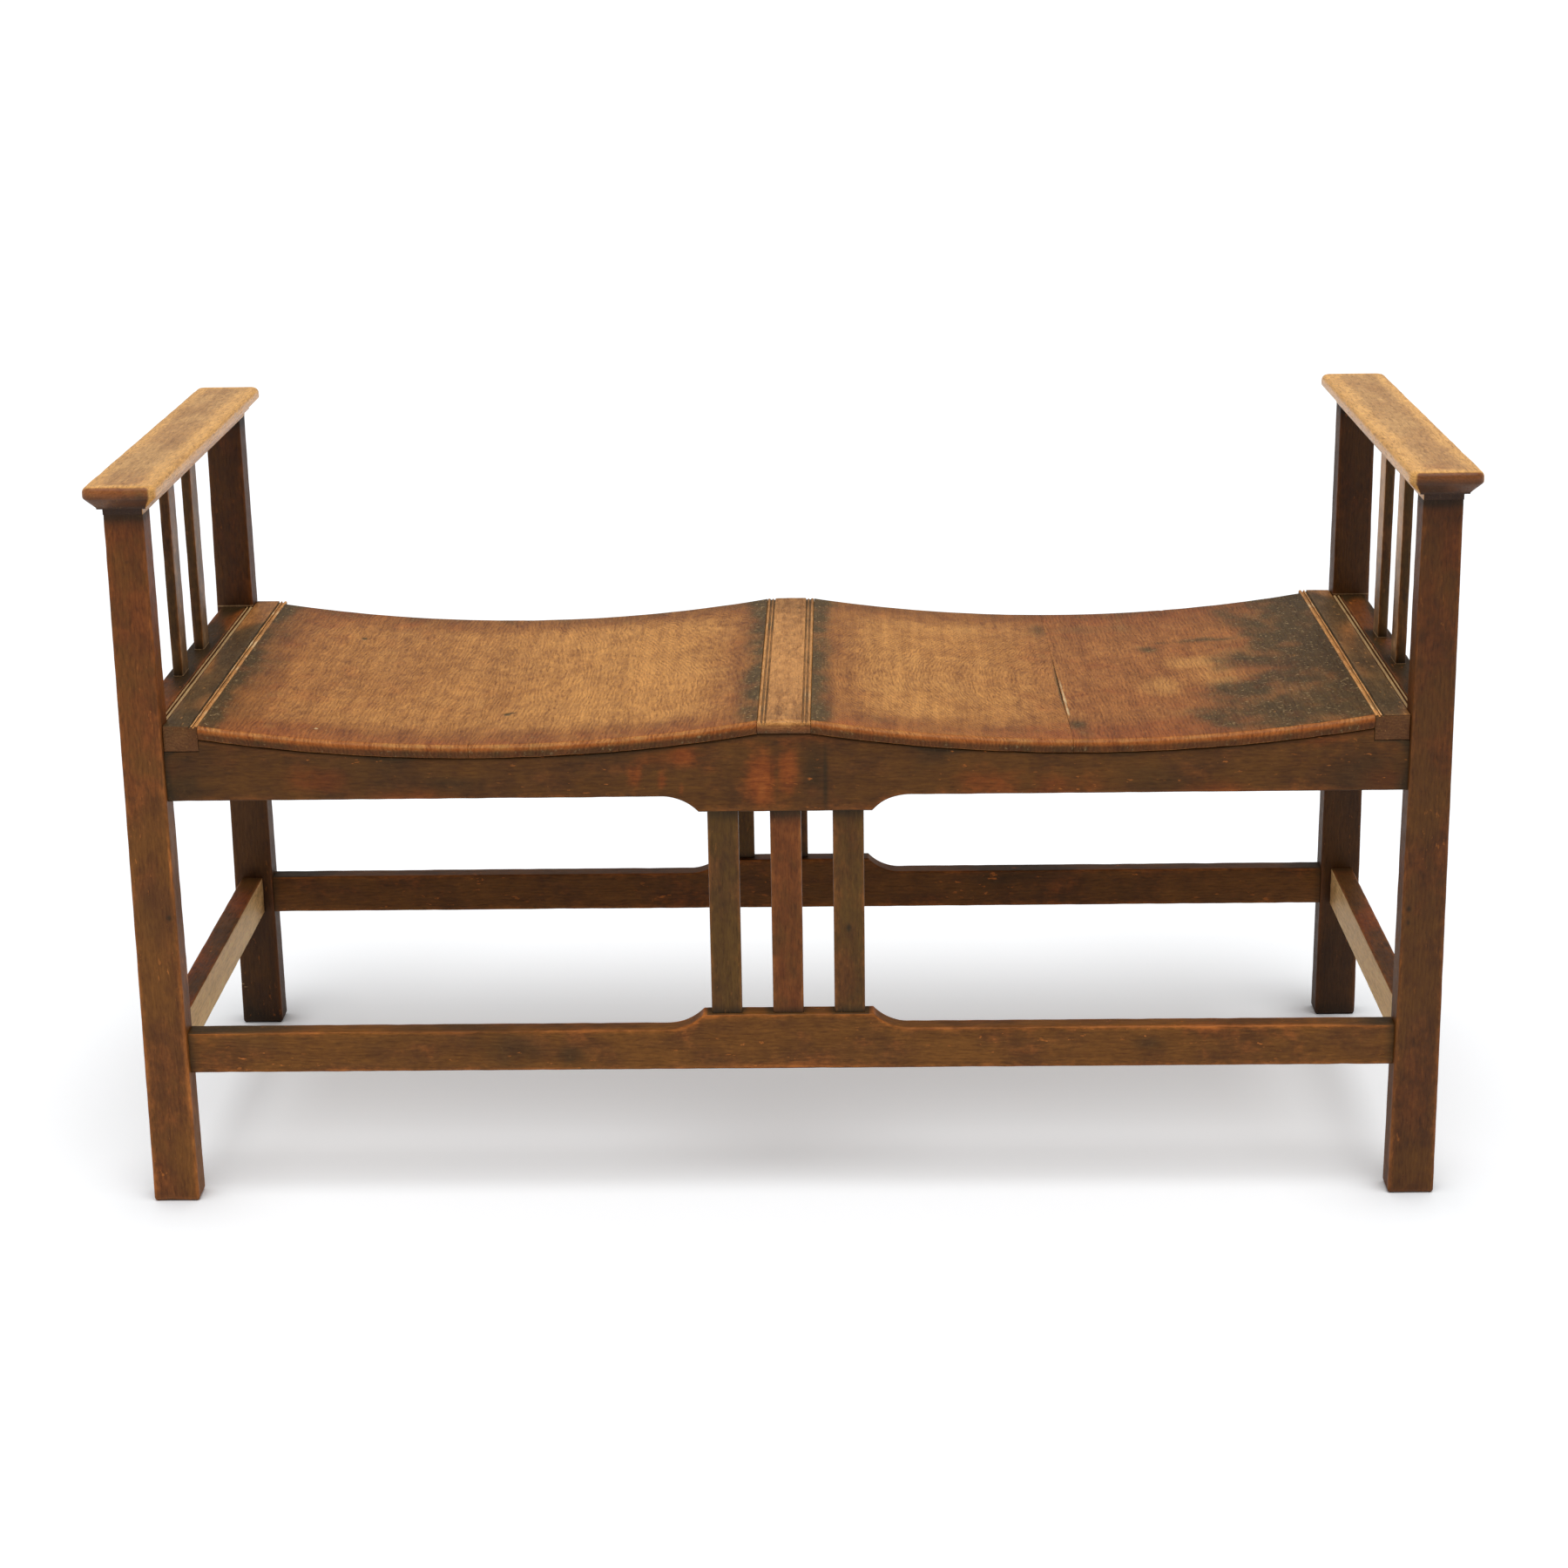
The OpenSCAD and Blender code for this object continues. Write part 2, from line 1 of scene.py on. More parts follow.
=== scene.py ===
# Oak window bench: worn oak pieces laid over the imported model, seen from the photograph's angle
import math
import random
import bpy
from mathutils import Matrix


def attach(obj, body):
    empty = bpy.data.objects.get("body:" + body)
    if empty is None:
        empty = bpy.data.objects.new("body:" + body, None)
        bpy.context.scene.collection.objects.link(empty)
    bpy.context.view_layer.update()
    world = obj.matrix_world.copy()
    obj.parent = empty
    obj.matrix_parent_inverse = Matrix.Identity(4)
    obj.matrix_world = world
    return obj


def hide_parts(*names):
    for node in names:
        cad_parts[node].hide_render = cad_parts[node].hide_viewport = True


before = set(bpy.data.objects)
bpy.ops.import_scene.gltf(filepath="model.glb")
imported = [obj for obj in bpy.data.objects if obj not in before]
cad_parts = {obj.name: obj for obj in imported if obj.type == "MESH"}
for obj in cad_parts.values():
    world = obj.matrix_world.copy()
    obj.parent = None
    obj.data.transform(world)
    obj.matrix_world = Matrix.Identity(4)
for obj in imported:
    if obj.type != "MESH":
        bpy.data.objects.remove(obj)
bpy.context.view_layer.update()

from types import SimpleNamespace

import bmesh
import bpy
from mathutils import Matrix, Vector, noise

mm = 0.001  # sizes below are in millimetres, as in the part's source
bench = {
    "innerX": 550.5,     # inner faces of the posts
    "postHigh": 652.0,   # underside of the arm caps
    "seatTop": 459.5,    # top of the end strips and end rails
    "boardThick": 12.0,
    "stripX": 519.0,     # where the seat panels end and the end strips begin
    "centreX": 23.8,     # half the width of the centre strip
}
print("bench: frame loaded,", len(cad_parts), "nodes")


# Camera

cameraView = {
    "place": (0.0526, -2.71487, 1.19844),
    "turn": -1.226,   # degrees, to the left of straight ahead
    "tilt": 17.767,   # degrees, down
    "roll": -0.911,
    "focal": 3382.8 / 1800,  # in widths of the picture
}


def setCamera(view):
    turn, tilt, roll = (math.radians(view[k]) for k in ("turn", "tilt", "roll"))
    ahead = Vector((math.sin(turn) * math.cos(tilt), math.cos(turn) * math.cos(tilt), -math.sin(tilt)))
    level = Vector((math.cos(turn), -math.sin(turn), 0))
    upright = level.cross(ahead)
    right = level * math.cos(roll) + upright * math.sin(roll)
    up = upright * math.cos(roll) - level * math.sin(roll)
    data = bpy.data.cameras.new("benchCamera")
    data.sensor_width = 36
    data.lens = 36 * view["focal"]
    camera = bpy.data.objects.new("benchCamera", data)
    turned = Matrix((right, up, -ahead)).transposed().to_4x4()
    camera.matrix_world = Matrix.Translation(view["place"]) @ turned
    bpy.context.scene.collection.objects.link(camera)
    bpy.context.scene.camera = camera


# Small tools for building node trees

def nodeTools(tree):
    def make(kind, **settings):
        made = tree.nodes.new(kind)
        for key, value in settings.items():
            setattr(made, key, value)
        return made

    def feed(socket, value):
        if isinstance(value, bpy.types.NodeSocket):
            tree.links.new(value, socket)
        else:
            socket.default_value = value

    def calc(operation, a, b=0.0, clamp=False):
        made = make("ShaderNodeMath", operation=operation, use_clamp=clamp)
        feed(made.inputs[0], a)
        feed(made.inputs[1], b)
        return made.outputs[0]

    def swing(value, share):
        # share of how far a noise value is from its middle
        return calc("MULTIPLY", calc("SUBTRACT", value, 0.5), share)

    def stretch(vector, scale):
        made = make("ShaderNodeVectorMath", operation="MULTIPLY")
        feed(made.inputs[0], vector)
        feed(made.inputs[1], scale)
        return made.outputs[0]

    def cloudy(vector, scale, detail=2.0, rough=0.5):
        made = make("ShaderNodeTexNoise")
        feed(made.inputs["Vector"], stretch(vector, scale))
        made.inputs["Scale"].default_value = 1.0
        made.inputs["Detail"].default_value = detail
        made.inputs["Roughness"].default_value = rough
        return made.outputs[0]

    def spread(value, low, high, toLow=0.0, toHigh=1.0):
        made = make("ShaderNodeMapRange", interpolation_type="SMOOTHSTEP")
        feed(made.inputs[0], value)
        for i, number in enumerate((low, high, toLow, toHigh)):
            feed(made.inputs[i + 1], number)
        return made.outputs[0]

    def blend(share, a, b, way="MIX"):
        made = make("ShaderNodeMix", data_type="RGBA", blend_type=way, clamp_factor=True)
        feed(made.inputs[0], share)
        feed(made.inputs[6], a)
        feed(made.inputs[7], b)
        return made.outputs[2]

    def read(name):
        return make("ShaderNodeAttribute", attribute_name=name)

    return SimpleNamespace(make=make, feed=feed, calc=calc, swing=swing, stretch=stretch, cloudy=cloudy,
                           spread=spread, blend=blend, read=read)


def newFinish(name):
    finish = bpy.data.materials.new(name)
    finish.use_nodes = True
    finish.node_tree.nodes.clear()
    return finish, nodeTools(finish.node_tree)


def showSurface(t, surface):
    t.feed(t.make("ShaderNodeOutputMaterial").inputs[0], surface.outputs[0])


def makeBump(t, strength, distance):
    bump = t.make("ShaderNodeBump")
    bump.inputs["Strength"].default_value = strength
    bump.inputs["Distance"].default_value = distance
    return bump


def rgb(red, green, blue):
    # a colour as it is seen on a screen, 0 to 255, turned into light
    def light(value):
        value /= 255
        return value / 12.92 if value <= 0.04045 else ((value + 0.055) / 1.055) ** 2.4
    return (light(red), light(green), light(blue), 1.0)


# Finishes of the oak, by the kind of piece

grainTints = {"low": (0.60, 0.52, 0.44, 1.0), "high": (1.36, 1.40, 1.44, 1.0)}
oakRelief = 0.25 * mm  # depth of pores and grain

# colours are as seen on a screen, pitch lies between growth rings in millimetres, and the rest are shares
oakFinishes = {
    "seat": {
        "mid": (168, 108, 50), "second": (146, 88, 40), "gold": (214, 150, 76), "red": (166, 90, 38),
        "grime": (78, 65, 35), "bare": (222, 188, 138), "pore": (84, 50, 24), "dust": (210, 176, 124),
        "pitch": 3.8, "rings": 0.5, "fibres": 0.85, "streaks": 1.1, "flecks": 0.8, "blots": 0.7, "pores": 0.4,
        "specks": 0.35, "dusty": 0.8, "rough": 0.50, "gloss": 0.2, "sheen": 0.3, "relief": 0.5,
    },
    "strip": {
        "mid": (132, 96, 54), "second": (104, 76, 42), "gold": (214, 152, 86), "red": (146, 84, 42),
        "grime": (68, 56, 36), "bare": (232, 202, 152), "pore": (58, 40, 22), "dust": (204, 176, 128),
        "pitch": 3.0, "rings": 0.4, "fibres": 1.1, "streaks": 0.8, "flecks": 0.6, "blots": 0.5, "pores": 0.3,
        "specks": 0.5, "dusty": 0.25, "rough": 0.46, "gloss": 0.2, "sheen": 0.12, "relief": 0.5,
    },
    "cap": {
        "mid": (212, 162, 100), "second": (188, 138, 84), "gold": (246, 186, 106), "red": (166, 90, 40),
        "grime": (74, 46, 26), "bare": (240, 206, 156), "pore": (110, 76, 46), "dust": (220, 190, 144),
        "pitch": 2.6, "rings": 0.3, "fibres": 0.8, "streaks": 0.7, "flecks": 0.8, "blots": 0.5, "pores": 0.45,
        "specks": 0.2, "dusty": 0.1, "rough": 0.42, "gloss": 0.3, "sheen": 0.5, "relief": 0.6,
    },
    "post": {
        "mid": (116, 72, 28), "second": (98, 58, 24), "gold": (192, 114, 50), "red": (138, 68, 28),
        "grime": (54, 40, 22), "bare": (208, 166, 118), "pore": (52, 34, 18), "dust": (154, 116, 72),
        "pitch": 3.2, "rings": 0.25, "fibres": 0.9, "streaks": 0.65, "flecks": 0.65, "blots": 0.5,
        "pores": 0.3, "specks": 0.6, "dusty": 0.15, "rough": 0.48, "gloss": 0.22, "sheen": 0.06, "relief": 0.4,
    },
    "rail": {
        "mid": (106, 66, 24), "second": (88, 54, 22), "gold": (188, 108, 46), "red": (150, 72, 26),
        "grime": (54, 42, 22), "bare": (204, 168, 114), "pore": (48, 33, 16), "dust": (144, 108, 66),
        "pitch": 3.4, "rings": 0.25, "fibres": 0.9, "streaks": 0.8, "flecks": 0.7, "blots": 0.7, "pores": 0.3,
        "specks": 0.8, "dusty": 0.15, "rough": 0.48, "gloss": 0.2, "sheen": 0.12, "relief": 0.4,
    },
    "slat": {
        "mid": (104, 72, 28), "second": (90, 60, 24), "gold": (172, 108, 52), "red": (132, 68, 28),
        "grime": (50, 40, 22), "bare": (200, 158, 112), "pore": (48, 34, 16), "dust": (140, 108, 66),
        "pitch": 3.0, "rings": 0.25, "fibres": 0.9, "streaks": 0.8, "flecks": 0.7, "blots": 0.6, "pores": 0.3,
        "specks": 0.35, "dusty": 0.15, "rough": 0.46, "gloss": 0.22, "sheen": 0.4, "relief": 0.4,
    },
}


def makeOak(name, look):
    finish, t = newFinish(name + "Oak")
    look = {key: rgb(*value) if isinstance(value, tuple) else value for key, value in look.items()}
    grain = t.read("grain").outputs["Vector"]
    marks = t.read("marks")
    parts = t.make("ShaderNodeSeparateColor")
    t.feed(parts.inputs[0], marks.outputs["Color"])

    fibre = t.cloudy(grain, (80, 620, 620), 3.0, 0.6)
    fleck = t.cloudy(grain, (150, 330, 330), 3.0, 0.6)
    streak = t.cloudy(grain, (7, 110, 110), 3.0, 0.6)
    blot = t.cloudy(grain, (50, 65, 65), 4.0, 0.65)
    cloud = t.cloudy(grain, (15, 25, 25), 4.0, 0.6)

    # growth rings, wavy and broken
    warp = t.swing(t.cloudy(grain, (32, 90, 90), 4.0, 0.6), 0.012)
    phase = t.calc("DIVIDE", t.calc("ADD", t.read("figure").outputs["Fac"], warp), look["pitch"] * mm)
    ring = t.spread(t.calc("PINGPONG", phase, 0.5), 0.06, 0.44)
    broken = t.spread(t.cloudy(grain, (70, 210, 210), 2.0), 0.38, 0.62, 0.1, 1.0)
    lift = t.calc("ADD", t.calc("MULTIPLY", t.swing(ring, look["rings"]), broken), 0.5)
    for part, share in ((fibre, "fibres"), (streak, "streaks"), (fleck, "flecks"), (blot, "blots")):
        lift = t.calc("ADD", lift, t.swing(part, look[share]))
    texture = t.blend(lift, grainTints["low"], grainTints["high"])

    # ground colour, then red, rubbed and dirty places, each with a ragged edge; the golden and dark marks also
    # carry painted light and painted shade
    ragged = t.calc("ADD", t.calc("ADD", t.swing(fleck, 0.35), t.swing(cloud, 1.0)), t.swing(blot, 0.8))

    def place(amount, low, high, wild):
        return t.spread(t.calc("ADD", amount, t.calc("MULTIPLY", ragged, wild)), low, high)

    gold, dark = place(parts.outputs[0], -0.05, 1.05, 1.0), place(parts.outputs[1], 0.05, 0.95, 0.9)
    red, bare = place(parts.outputs[2], 0.05, 1.0, 1.0), place(marks.outputs["Alpha"], 0.3, 0.7, 0.5)
    colour = t.blend(t.spread(cloud, 0.40, 0.62), look["mid"], look["second"])
    colour = t.blend(t.calc("MULTIPLY", red, 0.85), colour, look["red"])
    colour = t.blend(t.calc("MULTIPLY", gold, 0.9), colour, look["gold"])
    colour = t.blend(t.calc("MULTIPLY", dark, 0.9), colour, look["grime"])
    colour = t.blend(1.0, colour, texture, "MULTIPLY")

    # open pores lie thickest in the early wood of each ring; where the wood is dark some hold pale dust
    poreNoise = t.cloudy(grain, (90, 1100, 1100), 1.5, 0.6)
    pores = t.spread(poreNoise, 0.55, 0.68)
    pores = t.calc("MULTIPLY", pores, t.calc("SUBTRACT", 1.0, t.calc("MULTIPLY", ring, 0.6)))
    colour = t.blend(t.calc("MULTIPLY", pores, look["pores"]), colour, look["pore"])
    dust = t.calc("MULTIPLY", t.spread(t.cloudy(grain, (400, 290, 290), 3.0, 0.6), 0.58, 0.72), dark)
    colour = t.blend(t.calc("MULTIPLY", dust, look["dusty"]), colour, look["dust"])

    # small rubbed specks, in groups
    speck = t.calc("MULTIPLY", t.spread(t.cloudy(grain, (95, 260, 260), 3.0, 0.6), 0.64, 0.70),
                   t.spread(t.cloudy(grain, (12, 30, 30), 2.0), 0.46, 0.62))
    colour = t.blend(t.calc("MULTIPLY", speck, look["specks"]), colour, look["gold"])
    # pale bare wood, and on some faces a painted sheen
    colour = t.blend(bare, colour, t.blend(0.7, look["bare"], texture, "MULTIPLY"))
    lit = t.make("ShaderNodeCombineColor")
    level = t.calc("MULTIPLY", t.read("shade").outputs["Fac"], 2.0)
    for socket in lit.inputs:
        t.feed(socket, level)
    colour = t.blend(1.0, colour, lit.outputs[0], "MULTIPLY")

    rough = t.calc("ADD", t.swing(fleck, 0.3), look["rough"])
    rough = t.calc("ADD", rough, t.calc("MULTIPLY", dark, 0.06))
    rough = t.calc("SUBTRACT", rough, t.calc("MULTIPLY", gold, 0.05))
    rough = t.calc("ADD", rough, t.calc("MULTIPLY", pores, 0.15), clamp=True)

    height = t.calc("ADD", t.calc("MULTIPLY", fibre, 0.3),
                    t.calc("MULTIPLY", t.calc("MULTIPLY", ring, broken), 0.22))
    height = t.calc("SUBTRACT", height, t.calc("MULTIPLY", pores, 0.6))
    height = t.calc("SUBTRACT", height, t.calc("MULTIPLY", speck, 0.5))
    bump = makeBump(t, look["relief"], oakRelief)
    t.feed(bump.inputs["Height"], height)

    surface = t.make("ShaderNodeBsdfPrincipled")
    surface.inputs["IOR"].default_value = 1.5
    facing = t.make("ShaderNodeLayerWeight").outputs["Facing"]
    t.feed(surface.inputs["Specular IOR Level"], t.spread(facing, 0.64, 0.84, look["gloss"], look["sheen"]))
    t.feed(surface.inputs["Base Color"], colour)
    t.feed(surface.inputs["Roughness"], rough)
    t.feed(surface.inputs["Normal"], bump.outputs[0])
    showSurface(t, surface)
    return finish


oak = {name: makeOak(name, look) for name, look in oakFinishes.items()}
print("bench: finishes made,", len(oak))


# Outlines and lofts; all lengths here are in millimetres

loft = {
    "arcStep": 18,                    # degrees between points round an eased arris
    "nearArris": (0.8, 2.0, 4.5),     # extra points on a flat, at these distances from its arris
    "nearEnd": (0.0, 1.5, 4.0),       # extra stations behind an eased end
    "ringWave": (85, 45, 45),         # length of the waves in growth rings, along, across and into the wood
    "lively": 3.0,                    # how far rings wander where a piece doesn't say
    "faceWear": 0.10, "facePatch": 45,
    "arrisWear": 0.15, "dent": 0.75, "dentPatch": 17,
    "sharpAngle": 38,                 # degrees from which an edge is shaded sharp
    "faintest": 0.02,                 # marks weaker than this are left out
}


def spaced(start, stop, step, dense=()):
    # places from start to stop, closer together round each (middle, reach, fine step)
    places, here = [start], start
    while here < stop - 1e-6:
        gap = step
        for middle, reach, fineStep in dense:
            if abs(here - middle) < reach:
                gap = min(gap, fineStep)
            elif here < middle and middle - reach < here + gap:
                gap = min(gap, max(fineStep, middle - reach - here))
        here += gap
        places.append(min(here, stop))
    if len(places) > 2 and places[-1] - places[-2] < 0.3 * step and not dense:
        del places[-2]
    return places


def arcPoints(middle, radius, fromAngle, toAngle, parts):
    angles = [math.radians(fromAngle + (toAngle - fromAngle) * k / parts) for k in range(parts + 1)]
    return [Vector((middle[0] + radius * math.cos(a), middle[1] + radius * math.sin(a))) for a in angles]


def easedOutline(corners, radii, steps, dense=None):
    # closed outline with rounded corners; each straight has more points towards its ends
    corners = [Vector(c) for c in corners]
    count = len(corners)
    arcs = []
    for i, here in enumerate(corners):
        coming = (here - corners[i - 1]).normalized()
        going = (corners[(i + 1) % count] - here).normalized()
        turn = math.atan2(coming.x * going.y - coming.y * going.x, coming.dot(going))
        start = here - coming * radii[i] * math.tan(abs(turn) / 2)
        middle = start + Vector((-coming.y, coming.x)) * math.copysign(radii[i], turn)
        parts = max(2, round(abs(turn) / math.radians(loft["arcStep"])))
        turns = [Matrix.Rotation(turn * k / parts, 2) for k in range(parts + 1)]
        arcs.append([middle + turned @ (start - middle) for turned in turns])
    outline = []
    for i in range(count):
        outline += arcs[i]
        start, stop = arcs[i][-1], arcs[(i + 1) % count][0]
        length = (stop - start).length
        near = [d for d in loft["nearArris"] if d < length * 0.4] or [0.0]
        inner = spaced(near[-1], length - near[-1], steps[i], dense[i] if dense else ())
        places = near[:-1] + inner + [length - d for d in reversed(near[:-1])]
        outline += [start.lerp(stop, place / length) for place in places if 0 < place < length]
    return outline


def easedBox(fromX, fromY, toX, toY, radius, step):
    return easedOutline([(fromX, fromY), (toX, fromY), (toX, toY), (fromX, toY)], [radius] * 4, [step] * 4)


def weigh(outline, reach):
    # how near each point is to an outer arris and to an inner corner, 0 to 1
    count = len(outline)
    turns, along, total = [], [], 0.0
    for i, here in enumerate(outline):
        coming, going = here - outline[i - 1], outline[(i + 1) % count] - here
        turns.append(math.atan2(coming.x * going.y - coming.y * going.x, coming.dot(going)))
        along.append(total)
        total += going.length
    weights = []
    for i in range(count):
        edge = nook = 0.0
        for j in range(count):
            if abs(turns[j]) < 1e-3:
                continue
            away = abs(along[i] - along[j])
            share = math.exp(-(min(away, total - away) / reach) ** 2) * abs(turns[j]) / (math.pi / 2)
            if turns[j] > 0:
                edge += share
            else:
                nook += share
        weights.append((min(1.0, edge), min(1.0, nook)))
    return weights


def inwardNormals(outline):
    count = len(outline)
    runs = [outline[(i + 1) % count] - outline[i - 1] for i in range(count)]
    return [Vector((-run.y, run.x)).normalized() for run in runs]


def placesWithEnds(start, stop, step, radius, dense=()):
    # stations along a piece as (place, inset at the eased ends, distance to the nearest end)
    ends = [(radius * (1 - math.cos(a)), radius * (1 - math.sin(a))) for a in (0, math.pi / 6, math.pi / 3)]
    near = [radius + d for d in loft["nearEnd"]]
    places = [(start + d, inset) for d, inset in ends]
    places += [(start + d, 0.0) for d in near]
    places += [(place, 0.0) for place in spaced(start + near[-1], stop - near[-1], step, dense)[1:-1]]
    places += [(stop - d, 0.0) for d in reversed(near)]
    places += [(stop - d, inset) for d, inset in reversed(ends)]
    return [(place, inset, min(place - start, stop - place)) for place, inset in places]


def bell(value, middle, reach):
    return math.exp(-((value - middle) / reach) ** 2)


def rise(value, low, high):
    share = min(1.0, max(0.0, (value - low) / (high - low)))
    return share * share * (3 - 2 * share)


def patchy(x, y, z, size, seed=0.0):
    # smooth noise from 0 to 1 with patches of about that size in millimetres
    return 0.5 + 0.5 * noise.noise(Vector((x / size + seed, y / size - seed, z / size + 2 * seed)))


def treeRing(along, across, depth, tree):
    # distance from the middle of the tree that a piece was sawn from; the trunk may lean and bend
    middle = tree["pith"][0] + tree.get("lean", 0.0) * along
    middle += tree.get("bow", 0.0) * (along - tree.get("bowAt", 0.0)) ** 2
    waves = [v / length for v, length in zip((along, across, depth), loft["ringWave"])]
    wave = tree.get("lively", loft["lively"]) * noise.noise(Vector(waves))
    return math.hypot(across - middle, depth - tree["pith"][1]) + wave


def grainFrame(axes, tree):
    # axes names those that run along, across and into the wood, such as "zxy" for an upright piece
    order = ["xyz".index(axis) for axis in axes]

    def frameOf(*place):
        way = [place[i] for i in order]
        return (*way, treeRing(*way, tree))
    return frameOf


def mark(at, size, **strengths):
    # a knot, dent, stain or rubbed spot; size is its reach along x, y and z, sink its depth
    return dict(at=at, size=size, **strengths)


def finerRound(features, axis, widest, times=3, step=1.2):
    # finer places round the marks that are small along that axis, as spaced takes them
    return [(f["at"][axis], times * f["size"][axis], step) for f in features if f["size"][axis] < widest]


def addMarks(look, x, y, z, features):
    for feature in features:
        places = zip((x, y, z), feature["at"], feature["size"])
        share = math.exp(-sum(((v - a) / s) ** 2 for v, a, s in places))
        if share < loft["faintest"]:
            continue
        for key in ("gold", "dark", "red", "bare", "sink"):
            if key in feature:
                look[key] = max(look.get(key, 0.0), feature[key] * share)
    return look


def buildPiece(node, slotName, stations, weights, frameOf, dress):
    # stations are (ring of points, closeness to an arris); frameOf gives along, across, depth and tree ring;
    # dress gives a point's marks, its shade and how far it is worn in
    count = len(stations[0][0])
    vertices = [Vector(point) for points, _ in stations for point in points]
    closeness = [(max(weights[k][0], near), weights[k][1]) for _, near in stations for k in range(count)]
    faces = []
    for s in range(len(stations) - 1):
        low, high = s * count, (s + 1) * count
        faces += [(low + k, low + (k + 1) % count, high + (k + 1) % count, high + k) for k in range(count)]
    faces += [tuple(range(count - 1, -1, -1)), tuple(range(len(vertices) - count, len(vertices)))]
    mesh = bpy.data.meshes.new("oak_" + node)
    mesh.from_pydata([v * mm for v in vertices], [], faces)
    work = bmesh.new()
    work.from_mesh(mesh)
    bmesh.ops.recalc_face_normals(work, faces=work.faces)
    work.to_mesh(mesh)
    work.free()
    normals = [v.normal.copy() for v in mesh.vertices]
    seed = random.Random(node).random() * 5
    grains, figures, marks, shades = [], [], [], []
    for i, vertex in enumerate(mesh.vertices):
        x, y, z = vertices[i]
        edge, nook = closeness[i]
        along, across, depth, ring = frameOf(x, y, z)
        look = dress(x, y, z, edge, nook, normals[i])
        worn = loft["faceWear"] * patchy(x, y, z, loft["facePatch"], seed)
        dented = loft["dent"] * patchy(x, y, z, loft["dentPatch"], seed) ** 2
        worn += edge * edge * (loft["arrisWear"] + dented)
        vertex.co = (vertices[i] - normals[i] * (worn + look.get("sink", 0.0))) * mm
        grains += [along * mm + 3 * seed, across * mm + seed, depth * mm - seed]
        figures.append(ring * mm)
        marks += [look.get(key, 0.0) for key in ("gold", "dark", "red", "bare")]
        shades.append(0.5 * look.get("shade", 1.0))
    fields = {"grain": ("FLOAT_VECTOR", "vector", grains), "figure": ("FLOAT", "value", figures),
              "marks": ("FLOAT_COLOR", "color", marks), "shade": ("FLOAT", "value", shades)}
    for name, (kind, field, values) in fields.items():
        mesh.attributes.new(name, kind, "POINT").data.foreach_set(field, values)
    mesh.materials.append(oak[slotName.split("_")[0]])
    mesh.shade_smooth()
    mesh.set_sharp_from_angle(angle=math.radians(loft["sharpAngle"]))
    piece = bpy.data.objects.new("oak_" + node, mesh)
    bpy.context.scene.collection.objects.link(piece)
    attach(piece, "root")
    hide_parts(node)
    return piece


# Posts

postShape = {
    "innerX": bench["innerX"], "footX": 593.0, "topX": 585.5, "backY": 203.0, "faceY": 231.0,
    "arris": 2.0, "arrisReach": 3.2, "footRound": 3.6, "step": 7.0, "sideStep": 5.0, "wear": 0.62,
    "pith": (640, 130), "pithDrift": (-10, 60), "lean": 0.01,  # the tree, and how it differs by post
    "railZ": 424, "stretcherZ": 146,                           # the inner faces are darker there
}
postLooks = {
    "front_left_post": {"side": -1, "end": -1, "shade": 1.22, "ruddy": 1.0, "features": [
        mark((-556.6, -231, 280.8), (2.2, 6, 3.5), dark=1.0, sink=0.3),
        mark((-569.2, -231, 609.8), (1.6, 6, 1.8), dark=1.0, sink=0.8),
        mark((-552.0, -231, 330.0), (1.5, 6, 30), gold=0.9)]},
    "front_right_post": {"side": 1, "end": -1, "shade": 0.76, "ruddy": 0.8, "features": [
        mark((555.9, -231, 279.5), (2.0, 6, 3.5), dark=1.0, sink=0.3),
        mark((556.6, -231, 266.2), (2.0, 6, 3.5), dark=0.9, sink=0.3),
        mark((550.5, -231, 228.0), (2.4, 2.4, 5.0), gold=1.0, bare=0.35, sink=1.6)]},
    "rear_left_post": {"side": -1, "end": 1, "shade": 0.68, "ruddy": 0.2, "features": [
        mark((-566, 203, 460.2), (60, 6, 1.2), bare=0.7),
        *(mark((-590.5 + 3.0 * k, 203, 45.0 - 3.5 * k), (2.6, 6, 1.2), bare=0.8, sink=0.3)
          for k in range(3))]},
    "rear_right_post": {"side": 1, "end": 1, "shade": 0.56, "ruddy": 0.3, "features": [
        mark((566, 203, 460.2), (60, 6, 1.2), bare=0.7)]},
}


